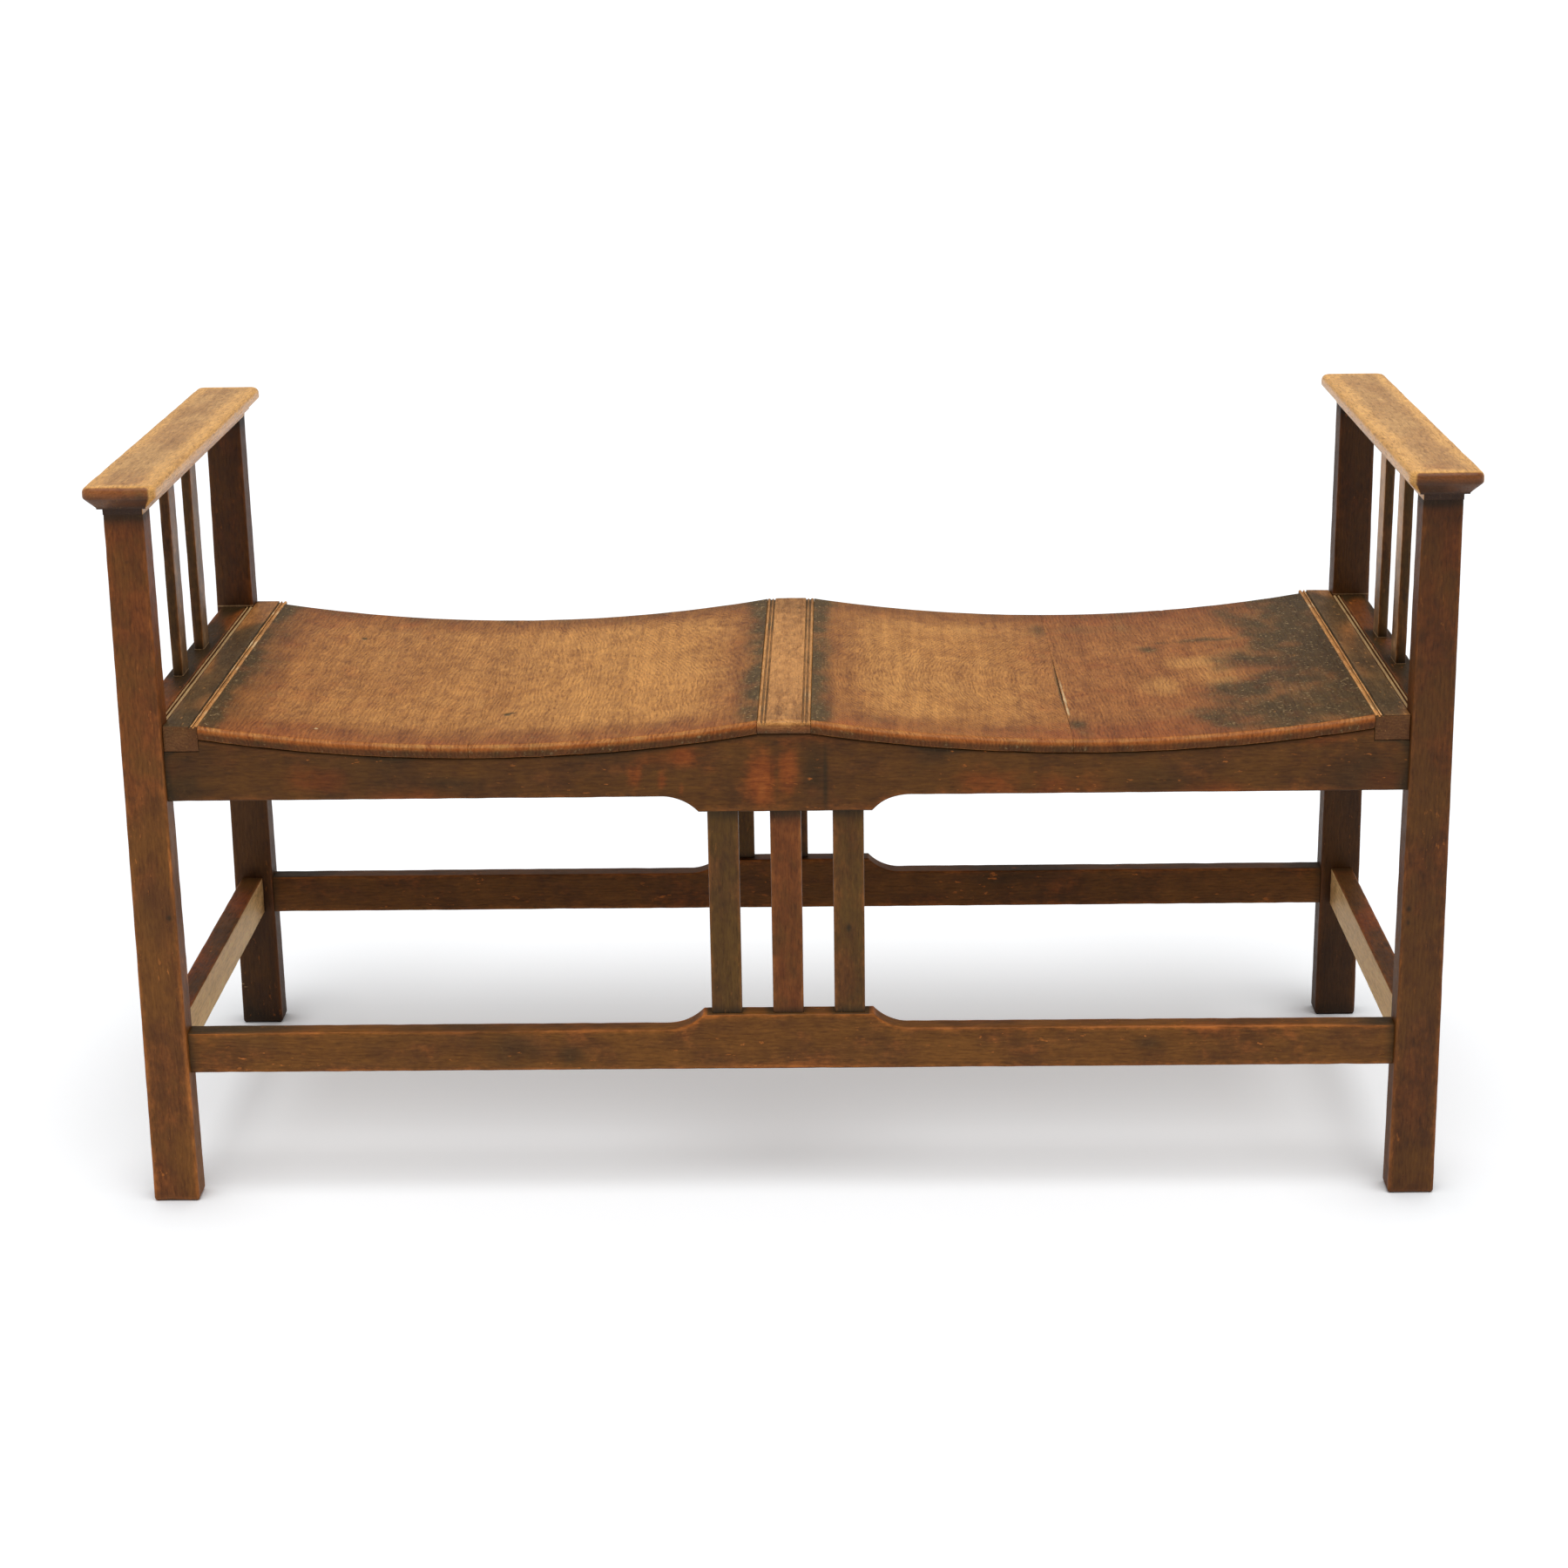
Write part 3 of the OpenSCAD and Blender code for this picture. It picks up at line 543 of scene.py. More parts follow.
def makePost(node, own):
    s, side, end, high = postShape, own["side"], own["end"], bench["postHigh"]
    dense = finerRound(own["features"], 2, 10)
    outline = easedBox(s["innerX"], s["backY"], s["footX"], s["faceY"], s["arris"], s["sideStep"])
    inward = inwardNormals(outline)
    stations = []
    for z, inset, _ in placesWithEnds(0.0, high, s["step"], s["footRound"], dense):
        taper = (s["footX"] - s["topX"]) * z / high / (s["footX"] - s["innerX"])
        ring = []
        for point, normal in zip(outline, inward):
            moved = point + normal * (inset if z < high / 2 else 0.0)
            ring.append((side * (moved.x - taper * (moved.x - s["innerX"])), end * moved.y, z))
        stations.append((ring, bell(z, 0, 5)))
    chance = random.Random(node).uniform(0.2, 0.9)
    (acrossPith, depthPith), (acrossDrift, depthDrift) = s["pith"], s["pithDrift"]
    tree = {"pith": (side * acrossPith + acrossDrift * chance, end * (depthPith + depthDrift * chance)),
            "lean": s["lean"]}

    def dress(x, y, z, edge, nook, normal):
        inner = rise(-normal.x * side, 0.5, 0.9)
        rubbed = edge * s["wear"] * (0.5 + 0.6 * patchy(x, y, z, 60, chance)) * (1.2 - 0.5 * rise(z, 20, 330))
        dirt = 0.75 * bell(z, high, 9) + 0.4 * bell(z, 0, 10)
        dirt += 0.4 * rise(patchy(x, y, z / 2, 46, 3 * chance), 0.6, 0.85)
        dirt += inner * (0.5 * bell(z, s["railZ"], 46) + 0.35 * bell(z, s["stretcherZ"], 24))
        if end > 0:
            dirt += 0.4 * (1 - rise(z, 280, 430))
        ruddy = 0.4 * rise(z, 300, 500) + 0.25 * rise(patchy(x, y, z / 3, 34, 7 * chance), 0.45, 0.8)
        # the faces towards the seat are painted a little brighter and paler: painted light
        shade = (own["shade"] + 0.1 * inner) * (0.9 + 0.2 * patchy(x, y, z / 4, 40, chance))
        look = {"gold": rubbed, "dark": dirt, "red": own["ruddy"] * ruddy, "bare": 0.2 * inner,
                "shade": shade * (1 - 0.15 * rise(z, 380, 520))}
        return addMarks(look, x, y, z, own["features"])

    buildPiece(node, "post_oak", stations, weigh(outline, s["arrisReach"]), grainFrame("zxy", tree), dress)


for node, own in postLooks.items():
    makePost(node, own)
print("bench: posts done")


# Upright slats in the middle and in the two ends

slatShape = {"arris": 1.0, "arrisReach": 2.2, "step": 9.0, "sideStep": 4.0, "wear": 0.55,
             "pithIn": 30, "pithFar": 40, "lean": 0.01, "lively": 2.5}
middleSlat = {"width": 28.0, "thick": 10.0, "pitch": 56.0, "y": 215.5, "low": 180.0, "high": 375.0}
armSlat = {"width": 28.0, "thick": 9.5, "x": 571.25, "y": 47.75}
slatLooks = {
    "front_slat_left": {"shade": 0.96, "red": 0.0},
    "front_slat_middle": {"shade": 1.02, "red": 0.7},
    "front_slat_right": {"shade": 0.94, "red": 0.25, "features": [
        mark((55.9, -220.5, 261.8), (2.5, 4, 4.5), dark=1.0, sink=0.4)]},
}


def makeSlat(node, middle, size, lowZ, highZ):
    # middle and size are (x, y), seen from above
    s, own = slatShape, slatLooks.get(node, {})
    features, inArm = own.get("features", []), lowZ == bench["seatTop"]
    dense = finerRound(features, 2, 10, step=1.5)
    if inArm:
        dense.append((lowZ + 1, 3.0, 0.8))
    lowX, lowY, highX, highY = (m + way * d / 2 for way in (-1, 1) for m, d in zip(middle, size))
    outline = easedBox(lowX, lowY, highX, highY, s["arris"], s["sideStep"])
    stations = [([(p.x, p.y, z) for p in outline], 0.0) for z in spaced(lowZ, highZ, s["step"], dense)]
    chance = random.Random(node).random()
    tree = {"pith": (lowX + s["pithIn"] * chance, lowY - s["pithFar"] - s["pithIn"] * chance),
            "lean": s["lean"], "lively": s["lively"]}

    def dress(x, y, z, edge, nook, normal):
        look = {"gold": edge * s["wear"] * (0.5 + 0.7 * patchy(x, y, z, 45, chance)),
                "dark": 0.8 * (bell(z, lowZ, 7) + bell(z, highZ, 9)), "bare": 0.0,
                "red": own.get("red", 0.5 * rise(patchy(x, y, z / 3, 36, 5 * chance), 0.5, 0.85)),
                "shade": own.get("shade", 0.92) * (0.92 + 0.16 * patchy(x, y, z / 3, 50, chance))}
        if inArm:
            # the faces towards the seat are painted paler and brighter as a painted reflection, those of the
            # right arm more so; the other faces are painted darker as painted shade
            onRight = x > 0
            inner = rise(-normal.x if onRight else normal.x, 0.5, 0.9)
            paintedSheen = 0.4 + (0.2 * rise(z, 500, 590) if onRight else 0.0)
            look["bare"] = max(0.7 * bell(z, lowZ, 1.3), paintedSheen * inner)
            look["shade"] *= 0.74 + (0.75 if onRight else 0.45) * inner
        return addMarks(look, x, y, z, features)

    buildPiece(node, "slat_oak", stations, weigh(outline, s["arrisReach"]), grainFrame("zxy", tree), dress)


for end, row in ((-1, "front"), (1, "rear")):
    for i, name in ((-1, "left"), (0, "middle"), (1, "right")):
        makeSlat(row + "_slat_" + name, (i * middleSlat["pitch"], end * middleSlat["y"]),
                 (middleSlat["width"], middleSlat["thick"]), middleSlat["low"], middleSlat["high"])
    for side, name in ((-1, "left"), (1, "right")):
        makeSlat(name + "_" + row + "_arm_slat", (side * armSlat["x"], end * armSlat["y"]),
                 (armSlat["thick"], armSlat["width"]), bench["seatTop"], bench["postHigh"])
print("bench: slats done")


# Seat dish, shared by the boards and by all that carries them

dish = {"middleX": (bench["stripX"] + bench["centreX"]) / 2, "radius": 1542.7, "dip": 20.0, "bedGap": 0.2}
dish["middleZ"] = bench["seatTop"] - dish["dip"] + dish["radius"]


def dishZ(x, under):
    # height of the dish at x, under millimetres below the seat surface
    return dish["middleZ"] - math.sqrt((dish["radius"] + under) ** 2 - (abs(x) - dish["middleX"]) ** 2)


def underSeat(x, z):
    # how far a point lies below the dished surface
    return math.hypot(abs(x) - dish["middleX"], dish["middleZ"] - z) - dish["radius"]


def railTop(x):
    # upper edge of what carries the seat: notch under the end strips, bed of the centre strip, or the dish
    if abs(x) >= bench["stripX"]:
        return railShape["notchZ"]
    if abs(x) <= bench["centreX"]:
        return bench["seatTop"] - bench["boardThick"]
    return dishZ(x, bench["boardThick"] + dish["bedGap"])


# Long rails and long stretchers

longShape = {
    "lobe": 14.5, "lobeX": 77.5, "coveX": 110.0,  # rise of the deeper middle, where it and its cove end
    "plainX": 300,                                # a place well away from the middle
    "step": 6.0, "sideStep": 4.5, "arrisReach": 2.8, "finerLobe": (5.0, 0.9), "finerCove": (18.0, 2.2),
    "pithY": 150, "pithDrift": 40, "pithBelow": 60, "lean": 0.02, "lively": 5.0,
}
longShape["coveR"] = (((longShape["coveX"] - longShape["lobeX"]) ** 2 + longShape["lobe"] ** 2)
                      / (2 * longShape["lobe"]))
railShape = {"low": 389.5, "notchZ": 436.0, "backY": 204.5, "faceY": 226.5, "arris": 1.2, "wear": 0.45}
stretcherShape = {"low": 126.0, "high": 165.5, "backY": 204.0, "faceY": 224.0, "arris": 1.4, "wear": 0.55}
longLooks = {
    "front_rail": {"end": -1, "shade": 1.0, "features": [
        mark((-20, -226.5, 405), (14, 8, 26), red=1.1, gold=0.30),
        mark((3, -226.5, 412), (9, 8, 28), red=0.9, gold=0.2),
        mark((-20, -226.5, 394), (4, 8, 4), gold=0.7, red=1.0),
        mark((-12, -226.5, 412), (1.6, 8, 14), dark=0.5),
        mark((36.0, -226.5, 408), (3.2, 8, 40), dark=0.75),
        mark((26, -226.5, 412), (13, 8, 34), dark=0.6),
        mark((42.0, -226.5, 428), (3.5, 8, 1.0), bare=0.8, sink=0.25),
        mark((25, -226.5, 397), (5, 8, 3), red=0.9, gold=0.4),
        mark((-92, -226.5, 396), (3, 8, 5), red=0.9, gold=0.45),
        mark((-91, -226.5, 428), (16, 8, 9), red=0.9, gold=0.12),
        mark((-109, -226.5, 404), (5, 8, 9), red=0.9, gold=0.3),
        mark((-133, -226.5, 409), (6, 8, 14), red=0.8, gold=0.15),
        mark((-300, -226.5, 404), (40, 8, 12), dark=0.5),
        mark((-370, -226.5, 408), (120, 8, 40), dark=0.35),
        mark((-535, -226.5, 415), (36, 8, 60), dark=0.6),
        mark((180, -226.5, 400), (40, 8, 16), red=0.7)]},
    "rear_rail": {"end": 1, "shade": 0.9, "features": []},
    "front_stretcher": {"end": -1, "shade": 1.5, "features": [
        mark((-200, -224, 140), (14, 8, 12), dark=0.7),
        mark((330, -224, 150), (20, 8, 10), dark=0.6)]},
    "rear_stretcher": {"end": 1, "shade": 1.3, "features": []},
}


def coveRise(x):
    # how much deeper a rail is at x in its lobed middle, and how much taller a stretcher
    s = longShape
    away = s["coveX"] - abs(x)
    if away <= 0:
        return 0.0
    return s["lobe"] if abs(x) <= s["lobeX"] else s["coveR"] - math.sqrt(s["coveR"] ** 2 - away * away)


def makeLong(node, own, shape, lowOf, highOf):
    s, end, isRail = longShape, own["end"], node.endswith("rail")
    backY, faceY = shape["backY"], shape["faceY"]
    dense = finerRound(own["features"], 0, 6)
    for side in (-1, 1):
        dense.append((side * s["lobeX"], *s["finerLobe"]))
        dense.append((side * (s["lobeX"] + s["coveX"]) / 2, *s["finerCove"]))
    plainLow, plainHigh = lowOf(s["plainX"]), highOf(s["plainX"])
    outline = easedBox(backY, plainLow, faceY, plainHigh, shape["arris"], s["sideStep"])
    places = spaced(-bench["innerX"], bench["innerX"], s["step"], dense)
    if isRail:
        places = sorted(places + [side * bench["stripX"] + d for side in (-1, 1) for d in (-0.02, 0.02)])
    shares = [(p.y - plainLow) / (plainHigh - plainLow) for p in outline]
    stations = []
    for x in places:
        down, up = lowOf(x) - plainLow, highOf(x) - plainHigh
        stations.append(([(x, end * p.x, p.y + down * (1 - share) + up * share)
                          for p, share in zip(outline, shares)], 0.0))
    chance = random.Random(node).random()
    tree = {"pith": (end * (s["pithY"] + s["pithDrift"] * chance), plainLow - s["pithBelow"]),
            "lean": s["lean"], "lively": s["lively"]}

    def dress(x, y, z, edge, nook, normal):
        level = abs(normal.z) > 0.5
        lobeEdge = bell(abs(x), s["lobeX"], 2.5) if abs(normal.z) > 0.3 else 0.0
        rubbed = max(edge, lobeEdge) * shape["wear"] * (0.4 + 0.8 * patchy(x / 2, y, z, 40, chance))
        dirt = 0.7 * bell(abs(x), bench["innerX"], 7)
        dirt += 0.5 * rise(patchy(x / 2, y, z, 48, 2 + chance), 0.58, 0.85)
        if isRail and end < 0:
            # a painted shadow line along the top of the front rail, under the seat's front edge
            dirt += 0.8 * bell(z, highOf(x) + 1, 4.5)
        elif not isRail and normal.z > 0.5:
            dirt += 0.25 + 0.6 * bell(abs(x), bench["innerX"], 40)
        if level and any(abs(x - i * middleSlat["pitch"]) < middleSlat["width"] / 2 + 4 for i in (-1, 0, 1)):
            dirt = max(dirt, 0.7)
        ruddy = (0.6 if end < 0 and isRail else 0.2) * rise(patchy(x / 3, y, z, 30, 5 + chance), 0.5, 0.85)
        look = {"gold": rubbed * rise(normal.z, -0.6, 0.1), "dark": dirt, "red": ruddy,
                "shade": own["shade"] * (0.9 + 0.2 * patchy(x / 3, y, z, 60, chance))}
        return addMarks(look, x, y, z, own["features"])

    buildPiece(node, "rail_oak", stations, weigh(outline, s["arrisReach"]), grainFrame("xyz", tree), dress)


for node, own in longLooks.items():
    if node.endswith("rail"):
        makeLong(node, own, railShape, lambda x: railShape["low"] - coveRise(x), railTop)
    else:
        makeLong(node, own, stretcherShape, lambda x: stretcherShape["low"],
                 lambda x: stretcherShape["high"] + coveRise(x))
print("bench: long rails and stretchers done")


# Beads, strips, end rails and end stretchers

beads = {"big": 1.8, "small": 1.2, "quirk": 0.9}
beads["row"] = 2 * beads["big"] + 2 * beads["small"] + 2 * beads["quirk"]
# what the pieces that run from front to rear have in common
crossShape = {"topStep": 3.0, "sideStep": 8.0, "arris": 1.2, "step": 8.0, "arrisReach": 1.6, "endReach": 2.5,
              "lean": 0.05, "lively": 3.5}


def beadRow(fromX, top):
    # a big bead, a small bead and their quirks, from left to right, up to the flat
    b = beads
    floor = top - b["big"]
    small = fromX + 2 * b["big"] + b["quirk"] + b["small"]
    drop = math.degrees(math.asin((b["big"] - b["small"]) / b["small"]))
    flat = fromX + b["row"]
    points = arcPoints((fromX + b["big"], floor), b["big"], 180, 0, 8)
    points += arcPoints((small, top - b["small"]), b["small"], 180 + drop, -drop, 7)
    return points + [Vector((flat - 0.15, floor)), Vector((flat, floor + 0.15)), Vector((flat, top - 0.4)),
                     Vector((flat + 0.4, top))]


def beadedSection(fromX, toX, low, top):
    # section with the beads along the inner side of its top
    arris, topStep, sideStep = (crossShape[k] for k in ("arris", "topStep", "sideStep"))
    points = beadRow(fromX, top)
    points += [Vector((x, top)) for x in spaced(points[-1].x + arris / 2, toX - arris, topStep)]
    points += [Vector((toX - 0.35, top - 0.1)), Vector((toX - 0.1, top - 0.35)), Vector((toX, top - arris))]
    points += [Vector((toX, z)) for z in reversed(spaced(low, top - 6, sideStep))]
    points += [Vector((x, low)) for x in reversed(spaced(fromX, toX - 4, sideStep))]
    points += [Vector((fromX, z)) for z in spaced(low + 6, top - beads["big"] - 1.5, sideStep)]
    return points[::-1]


def makeAlongY(node, slotName, section, dress, shape, side=1, clamp=None):
    # a piece of one section that runs from front to rear; clamp shapes its ends instead of a plain ease
    s, (acrossPith, depthPith) = crossShape, shape["pith"]
    inward = inwardNormals(section)
    stations = []
    for y, inset, away in placesWithEnds(*shape["reach"], s["step"], shape["ease"]):
        ring = []
        for p, n in zip(section, inward):
            q = p + n * (0.0 if clamp else inset)
            ring.append((side * q.x, y, clamp(q.y, away) if clamp else q.y))
        stations.append((ring, bell(away, 0, s["endReach"])))
    tree = {"pith": (side * acrossPith, depthPith), "lean": s["lean"], "lively": s["lively"]}
    buildPiece(node, slotName, stations, weigh(section, s["arrisReach"]), grainFrame("yxz", tree), dress)


endStrip = {
    "fromX": bench["stripX"] + 0.15, "low": 436.0, "reach": (-226.5, 226.5), "ease": 0.8, "pith": (535, 380),
    "left_end_strip": {"side": -1, "shade": 1.2},
    "right_end_strip": {"side": 1, "shade": 1.35},
}


def crestShare(z):
    # 1 on the crests of the beads, 0 in their quirks
    return rise(z, bench["seatTop"] - 1.3, bench["seatTop"] - 0.4)


def endStripDress(node, own):
    chance = random.Random(node).random()

    def dress(x, y, z, edge, nook, normal):
        onBeads = normal.z > 0.4 and abs(x) < endStrip["fromX"] + beads["row"] - 0.8
        worn = rise(patchy(x, y / 3, z, 26, chance), 0.42, 0.72)
        look = {"shade": own["shade"] + 0.15 * patchy(x, y / 3, z, 40, chance), "red": 0.3 + 0.4 * worn}
        if onBeads:
            look["gold"] = 0.6 + 0.5 * patchy(x, y, z, 24, chance)
            look["dark"] = 0.25 * (1 - crestShare(z)) + 0.3 * rise(patchy(x, y, z, 60, 3 + chance), 0.55, 0.8)
            look["bare"] = 0.65 * crestShare(z) * patchy(x, y, z, 30, 8 + chance)
        else:
            look["gold"] = 0.05 + 0.3 * worn + 0.2 * edge
            look["dark"] = 0.9 * nook + 0.66 - 0.5 * worn + 0.25 * (1 - rise(y, -220, -60))
        if normal.y < -0.4:
            look.update(gold=0.2 * rise(z, bench["seatTop"] - 2, bench["seatTop"]), dark=0.2, red=0.6,
                        bare=0.0, shade=0.68)
        return look
    return dress


endStripSection = beadedSection(endStrip["fromX"], bench["innerX"], endStrip["low"], bench["seatTop"])
for node in ("left_end_strip", "right_end_strip"):
    own = endStrip[node]
    makeAlongY(node, "strip_oak", endStripSection, endStripDress(node, own), endStrip, side=own["side"])

centreStrip = {"bedZ": bench["seatTop"] - bench["boardThick"], "crown": 0.8, "reach": (-228.5, 216.5),
               "ease": 5.0, "under": 1.5, "pith": (0, 340)}


def centreSection():
    # crowned strip with beads along both edges
    s, wide, top, arris = centreStrip, bench["centreX"], bench["seatTop"], crossShape["arris"]
    left = beadRow(-wide, top)
    flat = wide - beads["row"]
    crownR = (flat * flat + s["crown"] ** 2) / (2 * s["crown"])
    points = left + [Vector((x, top + s["crown"] - crownR + math.sqrt(crownR ** 2 - x * x)))
                     for x in spaced(arris - flat, flat - arris, crossShape["topStep"])]
    points += [Vector((-p.x, p.y)) for p in reversed(left)]
    points += [Vector((wide, s["bedZ"] + 6)), Vector((wide, s["bedZ"]))]
    points += [Vector((x, s["bedZ"])) for x in (12.0, 0.0, -12.0)]
    points += [Vector((-wide, s["bedZ"])), Vector((-wide, s["bedZ"] + 6))]
    return points[::-1]


def underNose(z, away):
    # keeps the centre strip's ends inside their rounding, a large one above and a small one below
    bedZ, crown, nose, under = (centreStrip[k] for k in ("bedZ", "crown", "ease", "under"))
    if away < nose:
        z = min(z, bench["seatTop"] + crown - nose + math.sqrt(nose ** 2 - (nose - away) ** 2))
    if away < under:
        z = max(z, bedZ + under - math.sqrt(under ** 2 - (under - away) ** 2))
    return z


def centreDress(x, y, z, edge, nook, normal):
    worn = bell(y, -20, 190) * (0.75 + 0.5 * patchy(x, y / 2, z, 30, 2.0))
    look = {"shade": 0.97 + 0.12 * patchy(x, y / 3, z, 40, 1.0), "gold": 0.3 + 0.6 * worn + 0.2 * edge,
            "dark": 0.6 * nook + 0.25 * rise(y, 150, 215), "red": 0.4 + 0.4 * patchy(x, y / 2, z, 36, 5.0)}
    if abs(x) > bench["centreX"] - beads["row"]:
        look["bare"] = 0.5 * crestShare(z) * patchy(x, y, z, 30, 4.0)
    # the front end: orange near its top, and painted darker further down as painted shade
    if normal.y < -0.2:
        under = bench["seatTop"] - z
        look.update(red=1.0, gold=0.95 * (1 - rise(under, 2, 6)), dark=0.05 + 0.6 * rise(under, 5, 8),
                    shade=1.05)
    return look


makeAlongY("centre_strip", "strip_oak", centreSection(), centreDress, centreStrip, clamp=underNose)

endRail = {"outX": 583.0, "low": 389.5, "reach": (-203.0, 203.0), "ease": 0.4, "pith": (640, 350)}
endStretcher = {"fromX": 561.0, "low": 126.0, "toX": 583.0, "high": 165.5, "arris": 1.4, "sideStep": 5.0,
                "reach": (-203.0, 203.0), "ease": 0.4, "pith": (640, 90)}


def endRailDress(node):
    chance = random.Random(node).random()

    def dress(x, y, z, edge, nook, normal):
        up = normal.z > 0.4
        onBeads = up and abs(x) < bench["innerX"] + beads["row"] - 0.8
        worn = rise(patchy(x, y / 3, z, 26, chance), 0.42, 0.72)
        look = {"shade": 0.92 + 0.18 * patchy(x, y / 3, z, 60, chance),
                "red": 0.1 * worn if up else 0.4 * worn,
                "gold": 0.4 * crestShare(z) if onBeads else 0.5 * edge + (0.2 * worn if up else 0),
                "dark": 0.45 * bell(abs(y), endRail["reach"][1], 12)}
        if onBeads:
            look.update(bare=0.9 * crestShare(z) * (0.6 + 0.6 * patchy(x, y, z, 30, chance)),
                        dark=0.4 * (1 - crestShare(z)))
        elif up:
            look["dark"] += 0.8 - 0.5 * worn
            look["red"] = 0.5 * worn
            if any(abs(y - end * armSlat["y"]) < armSlat["width"] / 2 + 3 for end in (-1, 1)):
                look["dark"] = max(look["dark"], 0.8)
        return look
    return dress


def endStretcherDress(node):
    chance = random.Random(node).random()

    def dress(x, y, z, edge, nook, normal):
        up = normal.z > 0.5
        inner = rise(-normal.x * (1 if x > 0 else -1), 0.5, 0.9)
        rubbed = edge * 0.6 * (0.5 + 0.7 * patchy(x, y, z, 30, chance))
        dirt = 0.6 * bell(abs(y), endStretcher["reach"][1], 12)
        # the faces towards the seat are painted paler, more golden and brighter: a painted reflection that
        # fades towards the rear
        return {"gold": rubbed + (0.12 if up else 0.4 * inner),
                "dark": dirt + (0.4 * bell(y, 170, 40) if up else 0.0),
                "bare": inner * (0.95 if x > 0 else 0.85) * (1 - 0.35 * rise(y, 60, 195)),
                "red": (0.7 if up else 0.3 * (1 - inner)) * rise(patchy(x, y / 3, z, 30, chance), 0.3, 0.7),
                "shade": (0.86 if up else 1.0 + 0.45 * inner) + 0.2 * patchy(x, y / 3, z, 60, chance)}
    return dress


endRailSection = beadedSection(bench["innerX"], endRail["outX"], endRail["low"], bench["seatTop"])
boxKeys = ("fromX", "low", "toX", "high", "arris", "sideStep")
endStretcherSection = easedBox(*(endStretcher[k] for k in boxKeys))
endPieces = {"_end_rail": (endRail, endRailSection, endRailDress),
             "_stretcher": (endStretcher, endStretcherSection, endStretcherDress)}
for side, name in ((-1, "left"), (1, "right")):
    for kind, (shape, section, dressOf) in endPieces.items():
        makeAlongY(name + kind, "rail_oak", section, dressOf(name + kind), shape, side=side)
print("bench: strips, end rails and end stretchers done")


# Seat boards

seatShape = {"fromY": -228.5, "toY": 216.5, "nose": 5.0, "under": 1.5, "gap": 0.02, "ease": 0.06,
             "stepX": 5.0, "stepY": 6.0, "edgeStep": 5.0, "underStep": 20.0, "arrisReach": 4.0,
             "leftJoints": (0, 0.247, 0.517, 1), "rightJoints": (0, 0.467, 1)}
boardLooks = {
    "left_seat_board_inner": {
        "side": -1, "joint": 0,
        "tree": {"pith": (-20, -30), "lean": -0.12, "bow": -0.0008, "bowAt": -80, "lively": 6.0},
        "features": [mark((-140, -30, 440), (8, 130, 9), gold=1.0)]},
    "left_seat_board_middle": {
        "side": -1, "joint": 1,
        "tree": {"pith": (-110, -40), "lean": -0.06, "bow": -0.0004, "bowAt": 0, "lively": 7.0},
        "features": [mark((-150, -60, 440), (9, 120, 9), gold=0.9),
                     mark((-255.4, -130.3, 440), (3.4, 4.2, 9), dark=1.3, sink=0.5),
                     mark((-252.0, -126.8, 440), (4.5, 2.2, 9), dark=1.1)]},
    "left_seat_board_outer": {
        "side": -1, "joint": 2, "tree": {"pith": (-620, -60), "lean": 0.05, "lively": 6.0},
        "features": [mark((-423.2, 117.4, 447), (3.2, 5, 9), dark=1.2, sink=0.3),
                     mark((-419.8, -192.7, 447), (2.2, 2.2, 9), bare=1.0, sink=0.4)]},
    "right_seat_board_inner": {
        "side": 1, "joint": 0, "tree": {"pith": (330, -26), "bow": 0.0022, "bowAt": -40, "lively": 8.0},
        "features": [mark((254.6, -65, 440), (1.3, 90, 9), dark=1.2, sink=0.7),
                     mark((249, 150, 440), (9, 26, 9), dark=0.6),
                     mark((246, 60, 440), (6, 18, 9), dark=0.4, bare=0.25)]},
    "right_seat_board_outer": {
        "side": 1, "joint": 1, "tree": {"pith": (640, -40), "lean": -0.04, "lively": 6.0},
        "features": [mark((255.8, -5, 440), (0.8, 22, 9), bare=0.6, sink=0.4),
                     mark((256.1, -50, 440), (1.0, 34, 9), bare=0.75, sink=0.5),
                     mark((256.6, -95, 440), (1.2, 34, 9), bare=0.85, sink=0.6),
                     mark((257.2, -136, 440), (1.5, 16, 9), bare=1.0, sink=0.6),
                     mark((262, -180, 440), (11, 16, 9), dark=0.8),
                     mark((350, 66, 441), (11, 13, 9), dark=0.7),
                     mark((365, 86, 442), (12, 6, 9), dark=0.6),
                     mark((398, 86, 445), (24, 9, 9), dark=0.75),
                     mark((425, 80, 447), (16, 6, 9), dark=0.7),
                     mark((388, 8, 444), (34, 26, 9), gold=1.1),
                     mark((352, -64, 441), (28, 36, 9), gold=0.9),
                     mark((408, -62, 446), (18, 20, 9), gold=0.95),
                     mark((300, 150, 440), (60, 22, 9), dark=0.35),
                     mark((378.3, 213.0, 443), (2.0, 2.4, 9), bare=1.2, sink=0.4)]},
}


# the dark stain over the outer part of the right panel; its edge wanders by (how far, patch size, seed)
panelStain = {"edgeX": 398, "backOut": 34, "backY": (-95, -40), "wander": ((70, 70, 4.2), (55, 26, 1.7)),
              "soft": (-46, 34), "worn": 0.38, "wornGold": 0.35}


def stainAt(x, y):
    s = panelStain
    border = s["edgeX"] + s["backOut"] * rise(y, *s["backY"])
    for far, size, seed in s["wander"]:
        border += far * (patchy(x, y, 0, size, seed) - 0.5)
    return rise(x, border + s["soft"][0], border + s["soft"][1])


